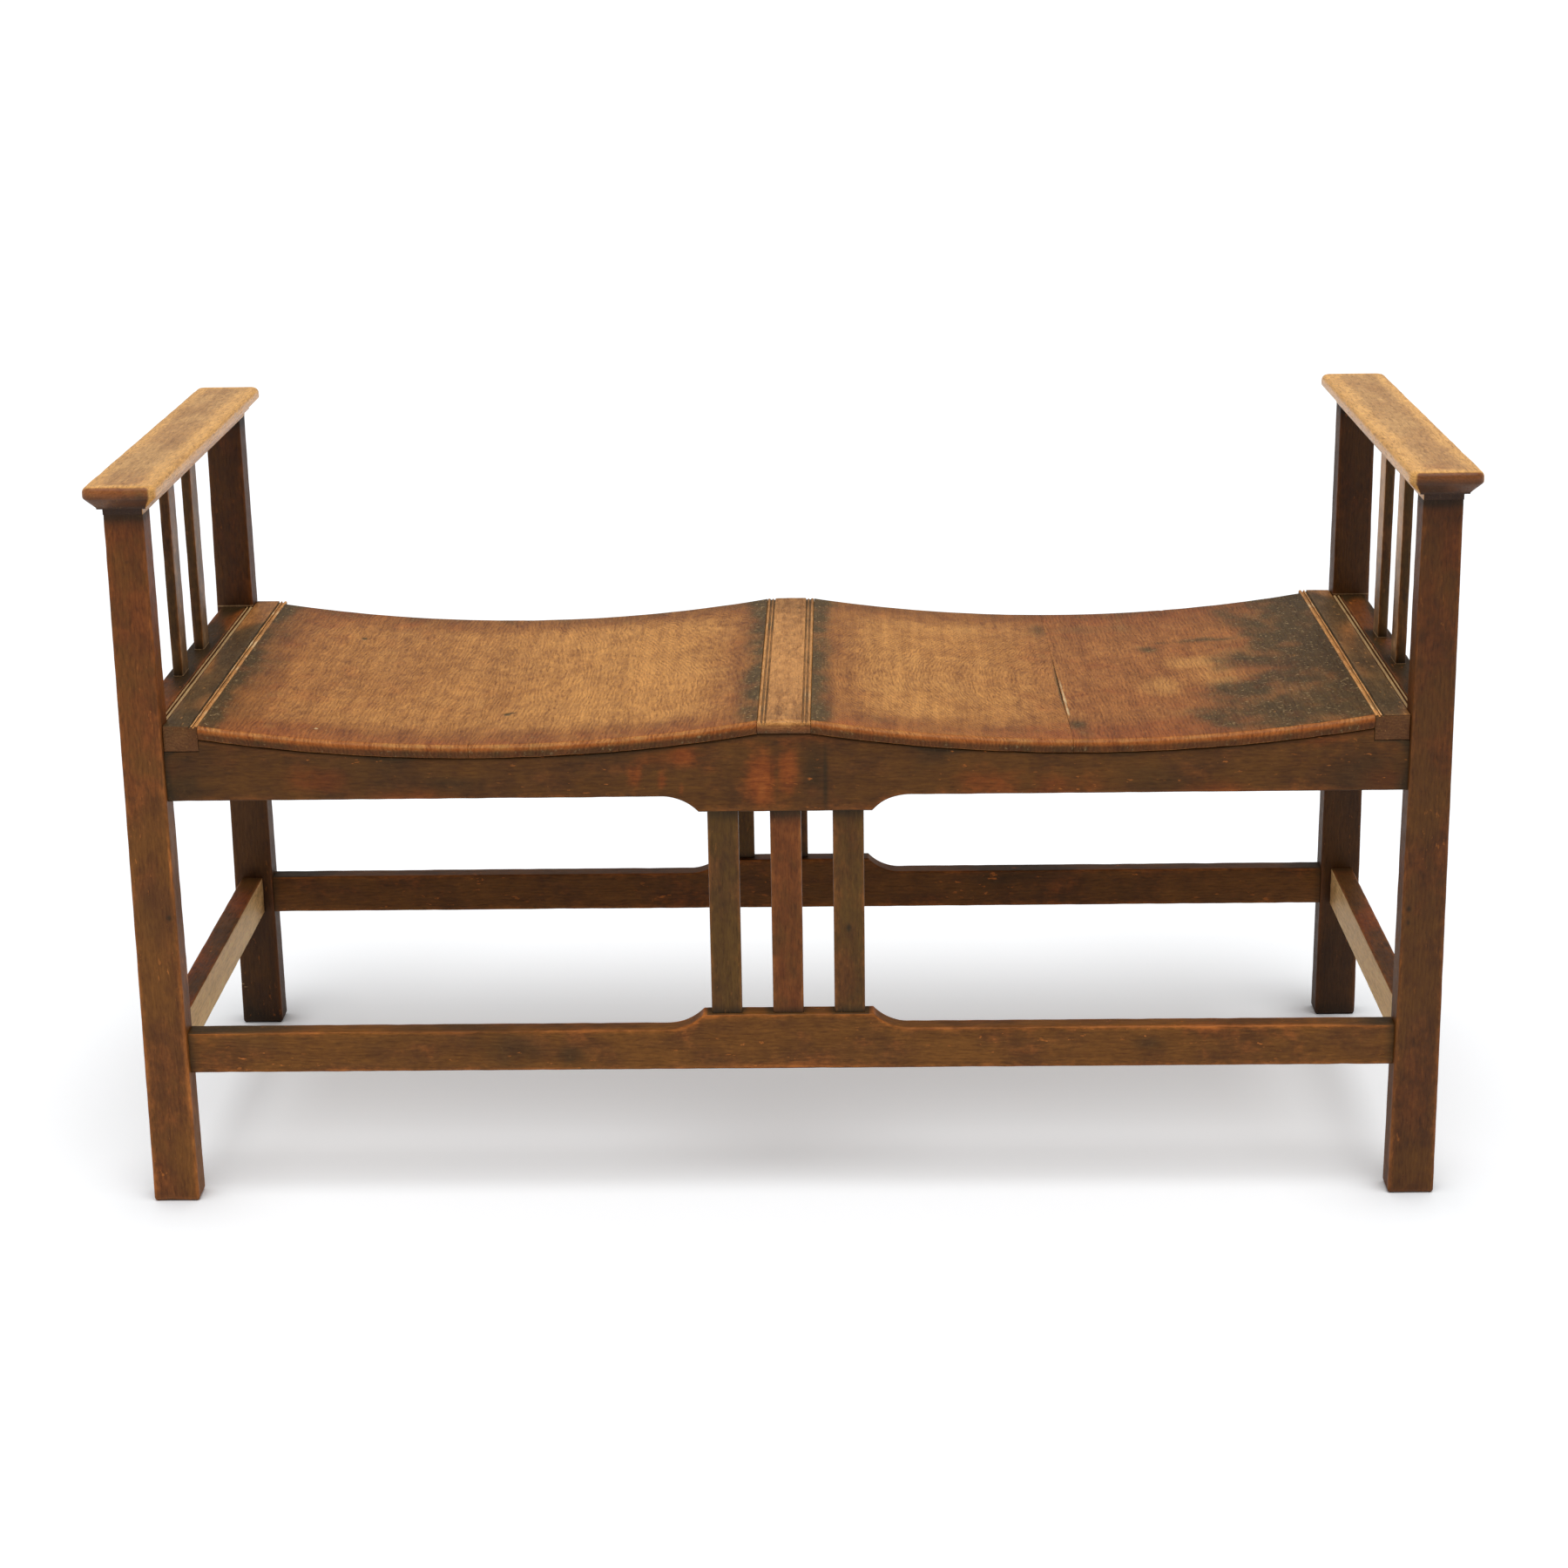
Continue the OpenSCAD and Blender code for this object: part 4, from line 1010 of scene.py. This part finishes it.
def seatDress(node, own):
    chance = random.Random(node).random()

    def dress(x, y, z, edge, nook, normal):
        s = seatShape
        if normal.z < -0.5:
            return {"dark": 0.3, "shade": 0.9, "red": 0.2}
        cloudy, small = patchy(x, y, 0, 55, chance * 5), patchy(x, y, 0, 20, chance * 3)
        fromStrip = min(abs(x) - bench["centreX"], bench["stripX"] - abs(x))
        rear, front = s["toY"] - y, y - s["fromY"]
        fade = rise(fromStrip, 2, 70) * rise(rear, 12, 80) * rise(front, 20, 75)
        red = 0.4 * (1 - rise(front, 8, 60)) + 0.3 * (1 - rise(rear, 10, 50)) + 0.45 * rise(small, 0.5, 0.85)
        dark = 0.5 * (1 - rise(rear, 4, 56)) * (0.5 + 0.8 * small)
        dark += 0.95 * (1 - rise(fromStrip, 1, 30)) * (0.5 + 0.8 * small)
        dark += 0.3 * bell(front, 30, 16) * rise(small, 0.35, 0.7)
        if own["side"] > 0:
            stain = stainAt(x, y)
            rubbed = stain * rise(patchy(x, y / 1.5, 0, 32, 9.1), 0.5, 0.72) * (1 - rise(x, 480, 512))
            stained = stain * (0.5 + 0.3 * small + 0.4 * patchy(x, y, 0, 11, 2.2))
            dark = max(dark, stained * (1 - panelStain["worn"] * rubbed))
            red += 0.5 * stain * rise(patchy(x, y, 0, 34, 6.4), 0.45, 0.7)
            gold = fade * (0.28 + 0.3 * cloudy + 0.25 * bell(x, 115, 95)) * (1 - stain)
            gold *= 1 - 0.4 * rise(x, 150, 290)
            gold += 0.4 * bell(x, 398, 26) * bell(y, -20, 55) + panelStain["wornGold"] * rubbed
            red = (red + 0.6 * rise(x, 170, 300)) * (1 - 0.5 * stain) + 0.3 * stain * bell(y, -60, 60)
            shade = 0.95 - 0.13 * rise(x, 230, 280)
        else:
            dark = max(dark, 0.5 * rise(-x, 450, 515) * (0.6 + 0.8 * small))
            red += 0.35 * rise(-x, 330, 460)
            gold = fade * (0.3 + 0.3 * cloudy + 0.4 * bell(x, -150, 110))
            shade = 0.93 - 0.06 * rise(-x, 370, 480)
        look = {"shade": shade + 0.1 * patchy(x, y, 0, 90, chance), "gold": gold, "dark": dark, "red": red}
        # the front rounding: orange near its top, and painted darker further down as painted shade
        if normal.y < -0.12:
            under = underSeat(x, z)
            look.update(red=1.0, gold=0.4 * (1 - rise(under, 1.5, 4)) * (0.6 + 0.7 * small),
                        dark=0.15 + 0.35 * rise(under, 3.5, 7), shade=1.04 - 0.5 * rise(under, 3.5, 7.5))
        return addMarks(look, x, y, z, own["features"])
    return dress


def makeBoard(node, own):
    s, side, thick = seatShape, own["side"], bench["boardThick"]
    joints = s["leftJoints"] if side < 0 else s["rightJoints"]
    wide = bench["stripX"] - bench["centreX"]
    fromX = bench["centreX"] + wide * joints[own["joint"]] + s["gap"] / 2
    toX = bench["centreX"] + wide * joints[own["joint"] + 1] - s["gap"] / 2
    small = [f for f in own["features"] if f["size"][0] < 6]
    denseX = [(abs(middle), reach, step) for middle, reach, step in finerRound(small, 0, 6, 2.6, 0.9)]
    # the upper face runs from the rear to the front, so its places are counted back from its end
    topLong = s["toY"] - s["fromY"] - 2 * s["nose"]
    denseY = [(topLong - (middle - s["fromY"] - s["nose"]), reach, step)
              for middle, reach, step in finerRound(small, 1, 6, 2.6)]
    outline = easedOutline([(s["fromY"], 0), (s["fromY"], -thick), (s["toY"], -thick), (s["toY"], 0)],
                           [s["nose"], s["under"], s["under"], s["nose"]],
                           [s["edgeStep"], s["underStep"], s["edgeStep"], s["stepY"]], [(), (), (), denseY])
    inward = inwardNormals(outline)
    stations = []
    for x, inset, _ in placesWithEnds(fromX, toX, s["stepX"], s["ease"], denseX):
        ring = [p + n * inset for p, n in zip(outline, inward)]
        stations.append(([(side * x, q.x, dishZ(x, -q.y)) for q in ring], 0.0))

    def frameOf(x, y, z):
        under = underSeat(x, z)
        return y, x, -under, treeRing(y, x, -under, own["tree"])

    buildPiece(node, "seat_oak", stations, weigh(outline, s["arrisReach"]), frameOf, seatDress(node, own))


for node, own in boardLooks.items():
    makeBoard(node, own)
print("bench: seat boards done")


# Arm caps: plan rings that follow the moulding up and then in over the top

capShape = {"fromX": bench["innerX"], "toX": 585.5, "halfY": 231.0, "over": 14.5, "thick": 21.3, "neck": 5.7,
            "ledge": 4.2, "ledgeHigh": 1.4, "noseHigh": 10.4, "nose": 5.0, "corner": 8.5,
            "cornerLeast": 0.8, "cornerIn": 0.75,  # least radius of the inner rings, and loss per millimetre
            "cornerParts": 6, "pointsX": 9, "pointsY": 78, "arrisReach": 4.0,
            "pithX": 500, "pithDrift": 60, "pithZ": 600, "lean": 0.05}


def capProfile():
    # (distance out from the posts, height over them) up the moulding and in over the top
    s = capShape
    top, under = s["neck"] + s["thick"], s["neck"] + s["thick"] - s["noseHigh"]
    ledge, seat = s["ledge"], s["neck"] + s["ledgeHigh"]
    points = [(0, 0), (0, s["neck"] / 2), (0, s["neck"] - 0.4), (0.4, s["neck"]), (ledge - 0.3, s["neck"]),
              (ledge, s["neck"] + 0.3), (ledge, seat - 0.2), (ledge + 0.3, seat + 0.2)]
    points += [(ledge + (s["over"] - ledge) * k, seat + (under - seat) * k) for k in (0.3, 0.62, 0.92)]
    points += [(s["over"] - 0.15, under), (s["over"], under + 0.8), (s["over"], under + 2.4),
               (s["over"], top - s["nose"] - 0.8)]
    points += [tuple(p) for p in arcPoints((s["over"] - s["nose"], top - s["nose"]), s["nose"], 10, 90, 6)]
    return points + [(out, top) for out in (9, 7, 4.5, 1.5, -2, -5.5, -9, -12.5, -16)]


def planRing(out, corner):
    # rounded rectangle round the posts with the same number of points whatever its size
    s = capShape
    lowX, highX, far = s["fromX"] - out, s["toX"] + out, s["halfY"] + out
    corner = min(corner, (highX - lowX) * 0.45)
    arcs = [arcPoints((cx, cy), corner, start, start + 90, s["cornerParts"])
            for cx, cy, start in ((highX - corner, far - corner, 0), (lowX + corner, far - corner, 90),
                                  (lowX + corner, corner - far, 180), (highX - corner, corner - far, 270))]
    ring = []
    for i, arc in enumerate(arcs):
        parts = s["pointsX"] if i in (0, 2) else s["pointsY"]
        ring += arc + [arc[-1].lerp(arcs[(i + 1) % 4][0], k / parts) for k in range(1, parts)]
    return ring


def makeCap(node, side):
    s = capShape
    chance = random.Random(node).random()
    top = s["neck"] + s["thick"]
    stations = []
    for out, up in capProfile():
        corner = max(s["cornerLeast"], s["corner"] - s["cornerIn"] * (s["over"] - out))
        near = bell(math.hypot(out - s["over"] + 1.2, up - top + 1.2), 1.0, s["arrisReach"])
        near = max(near, 0.7 * bell(up, top - s["noseHigh"], 1.2))
        stations.append(([(side * p.x, p.y, bench["postHigh"] + up) for p in planRing(out, corner)], near))
    tree = {"pith": (side * (s["pithX"] + s["pithDrift"] * chance), s["pithZ"]), "lean": s["lean"]}

    def dress(x, y, z, edge, nook, normal):
        up = z - bench["postHigh"]
        out = max(abs(x) - s["toX"], s["fromX"] - abs(x), abs(y) - s["halfY"])
        small, wide = patchy(x, y / 2, z, 22, chance), patchy(x, y / 3, z, 60, chance)
        onFront = rise(-normal.y, 0.15, 0.75)
        shade = (0.98 if side < 0 else 1.03) + 0.1 * wide
        if up > top - s["noseHigh"] - 0.6:
            # pale towards the edges and redder near the front; the front face is red and painted darker, most
            # of all low down, as painted shade
            margin = rise(out + 7 * (small - 0.5) + (3 if abs(x) < s["fromX"] + 8 else 0), -5, 10)
            low = 1 - rise(up, top - 10, top - 5)
            near = rise(-y, s["halfY"] - 50, s["halfY"] + 12)
            dirt = 0.3 * rise(patchy(x, y / 2, z, 34, chance * 4), 0.5, 0.8) * (1 - margin)
            look = {"gold": (0.12 + (0.85 if side < 0 else 1.05) * margin) * (1 - onFront),
                    "red": (0.3 * margin + 0.45 * near) * (1 - onFront) + 1.1 * onFront,
                    "dark": dirt + onFront * (0.25 + 0.4 * low),
                    "shade": shade - onFront * (0.12 if side < 0 else 0.48)}
        else:
            # under the nose the bevel and neck are painted dark: painted shade
            look = {"gold": 0.0, "red": 0.9, "dark": 0.6 + 0.4 * (1 - rise(up, 5, 9)), "shade": 0.5}
        # faces towards the seat are painted lighter and more golden: painted light
        if normal.x * side < -0.3:
            look.update(gold=max(look["gold"], 0.75), red=0.3, dark=0.3 * look["dark"], shade=1.0)
        return look

    buildPiece(node, "cap_oak", stations, [(0.0, 0.0)] * len(stations[0][0]), grainFrame("yxz", tree), dress)


makeCap("left_arm_cap", -1)
makeCap("right_arm_cap", 1)
print("bench: arm caps done")


# Hidden pieces under the seat

bearer = {"half": 32.0, "low": 407.5, "sideTop": 427.0, "arris": 1.0, "topX": (28.0, 24.0, 12.0),
          "reach": (-204.5, 204.5), "ease": 0.3, "pith": (0, 380)}


def bearerSection():
    half, low, high, arris = (bearer[k] for k in ("half", "low", "sideTop", "arris"))
    points = [Vector((x, low)) for x in (arris - half, 0, half - arris)]
    points += [Vector((half, low + arris)), Vector((half, high))]
    rightX = (half, *bearer["topX"])
    points += [Vector((x, railTop(x))) for x in (*rightX, 0.0, *(-x for x in reversed(rightX)))]
    return points + [Vector((-half, high)), Vector((-half, low + arris))]


def bearerDress(x, y, z, edge, nook, normal):
    return {"dark": 0.4 + 0.3 * patchy(x, y / 2, z, 40), "shade": 0.85}


makeAlongY("cross_bearer", "rail_oak", bearerSection(), bearerDress, bearer)


def makeSawnPine():
    finish, t = newFinish("sawnPine")
    place = t.make("ShaderNodeTexCoord").outputs["Object"]
    streak = t.cloudy(place, (20, 260, 260), 3.0, 0.6)
    saw = t.cloudy(place, (900, 40, 60), 2.0)
    colour = t.blend(t.spread(streak, 0.35, 0.7), rgb(150, 112, 72), rgb(186, 148, 100))
    colour = t.blend(t.spread(saw, 0.55, 0.75, 0.0, 0.35), colour, rgb(108, 78, 50))
    bump = makeBump(t, 0.5, 0.3 * mm)
    t.feed(bump.inputs["Height"], t.calc("ADD", saw, streak))
    surface = t.make("ShaderNodeBsdfPrincipled")
    t.feed(surface.inputs["Base Color"], colour)
    t.feed(surface.inputs["Roughness"], t.spread(saw, 0.2, 0.8, 0.65, 0.85))
    t.feed(surface.inputs["Normal"], bump.outputs[0])
    showSurface(t, surface)
    return finish


def makeScrewSteel():
    finish, t = newFinish("screwSteel")
    spots = t.cloudy(t.make("ShaderNodeTexCoord").outputs["Object"], (900, 900, 900), 3.0, 0.6)
    surface = t.make("ShaderNodeBsdfPrincipled")
    surface.inputs["Metallic"].default_value = 1.0
    colour = t.blend(t.spread(spots, 0.45, 0.65), rgb(138, 134, 128), rgb(92, 70, 54))
    t.feed(surface.inputs["Base Color"], colour)
    t.feed(surface.inputs["Roughness"], t.spread(spots, 0.3, 0.7, 0.35, 0.65))
    showSurface(t, surface)
    return finish


for node, finish in (("glue_blocks", makeSawnPine()), ("seat_screws", makeScrewSteel())):
    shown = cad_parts[node]
    shown.data.materials.clear()
    shown.data.materials.append(finish)
print("bench: hidden pieces done")


# Floor, room and lamp

studio = {
    "floor": (0.83, 0.85, 0.87, 1.0), "floorHalf": 30.0,
    "floorLift": 0.35,                                    # how far a seen floor is lifted to white
    "contact": 0.10, "contactDark": 2.0,                  # shade at the feet: reach in metres, and power
    "room": 0.66, "behindCamera": 0.4, "lowAtBack": 0.5,  # the last two are shares of the room's light
    "lamp": {"from": (0.05, -0.32, 1.0), "far": 3, "strength": 1.6, "softness": 38},
}


def makeFloor():
    mesh = bpy.data.meshes.new("studioFloor")
    half = studio["floorHalf"]
    corners = [(-half, -half, 0), (half, -half, 0), (half, half, 0), (-half, half, 0)]
    mesh.from_pydata(corners, [], [(0, 1, 2, 3)])
    floor = bpy.data.objects.new("studioFloor", mesh)
    bpy.context.scene.collection.objects.link(floor)
    finish, t = newFinish("studioFloor")
    matte = t.make("ShaderNodeBsdfDiffuse")
    matte.inputs["Color"].default_value = studio["floor"]
    lift = t.make("ShaderNodeEmission")
    path = t.make("ShaderNodeLightPath").outputs
    seen = t.calc("MAXIMUM", path["Is Camera Ray"], path["Is Glossy Ray"])
    seen = t.calc("MAXIMUM", seen, path["Is Transmission Ray"])
    near = t.make("ShaderNodeAmbientOcclusion", samples=8)
    near.inputs["Distance"].default_value = studio["contact"]
    unshaded = t.calc("POWER", near.outputs["AO"], studio["contactDark"])
    shown = t.calc("MULTIPLY", seen, unshaded)
    t.feed(lift.inputs["Strength"], t.calc("MULTIPLY", shown, studio["floorLift"]))
    both = t.make("ShaderNodeAddShader")
    t.feed(both.inputs[0], matte.outputs[0])
    t.feed(both.inputs[1], lift.outputs[0])
    showSurface(t, both)
    mesh.materials.append(finish)


def makeRoom():
    # bright above and at the sides, dimmer low at the back and behind the camera
    world = bpy.data.worlds.new("studio")
    bpy.context.scene.world = world
    world.use_nodes = True
    world.node_tree.nodes.clear()
    t = nodeTools(world.node_tree)
    way = t.make("ShaderNodeSeparateXYZ")
    t.feed(way.inputs[0], t.make("ShaderNodeTexCoord").outputs["Generated"])
    ahead = t.spread(way.outputs[1], -0.95, 0.1, studio["behindCamera"], 1.0)
    sides = t.spread(t.calc("ABSOLUTE", way.outputs[0]), 0.3, 0.8, studio["lowAtBack"], 1.0)
    high = t.spread(way.outputs[2], 0.1, 0.6, studio["lowAtBack"], 1.0)
    share = t.calc("MULTIPLY", ahead, t.calc("MAXIMUM", sides, high))
    light = t.make("ShaderNodeBackground")
    t.feed(light.inputs["Strength"], t.calc("MULTIPLY", share, studio["room"]))
    white = t.make("ShaderNodeBackground")
    mixed = t.make("ShaderNodeMixShader")
    t.feed(mixed.inputs[0], t.make("ShaderNodeLightPath").outputs["Is Camera Ray"])
    t.feed(mixed.inputs[1], light.outputs[0])
    t.feed(mixed.inputs[2], white.outputs[0])
    t.feed(t.make("ShaderNodeOutputWorld").inputs[0], mixed.outputs[0])


def makeLamp():
    own = studio["lamp"]
    lamp = bpy.data.lights.new("softbox", "SUN")
    lamp.energy = own["strength"]
    lamp.angle = math.radians(own["softness"])
    holder = bpy.data.objects.new("softbox", lamp)
    holder.rotation_euler = Vector(own["from"]).to_track_quat("Z", "Y").to_euler()
    holder.location = Vector(own["from"]) * own["far"]
    bpy.context.scene.collection.objects.link(holder)


setCamera(cameraView)
makeFloor()
makeRoom()
makeLamp()
bpy.context.scene.view_settings.view_transform = "Standard"
print("bench: studio done")
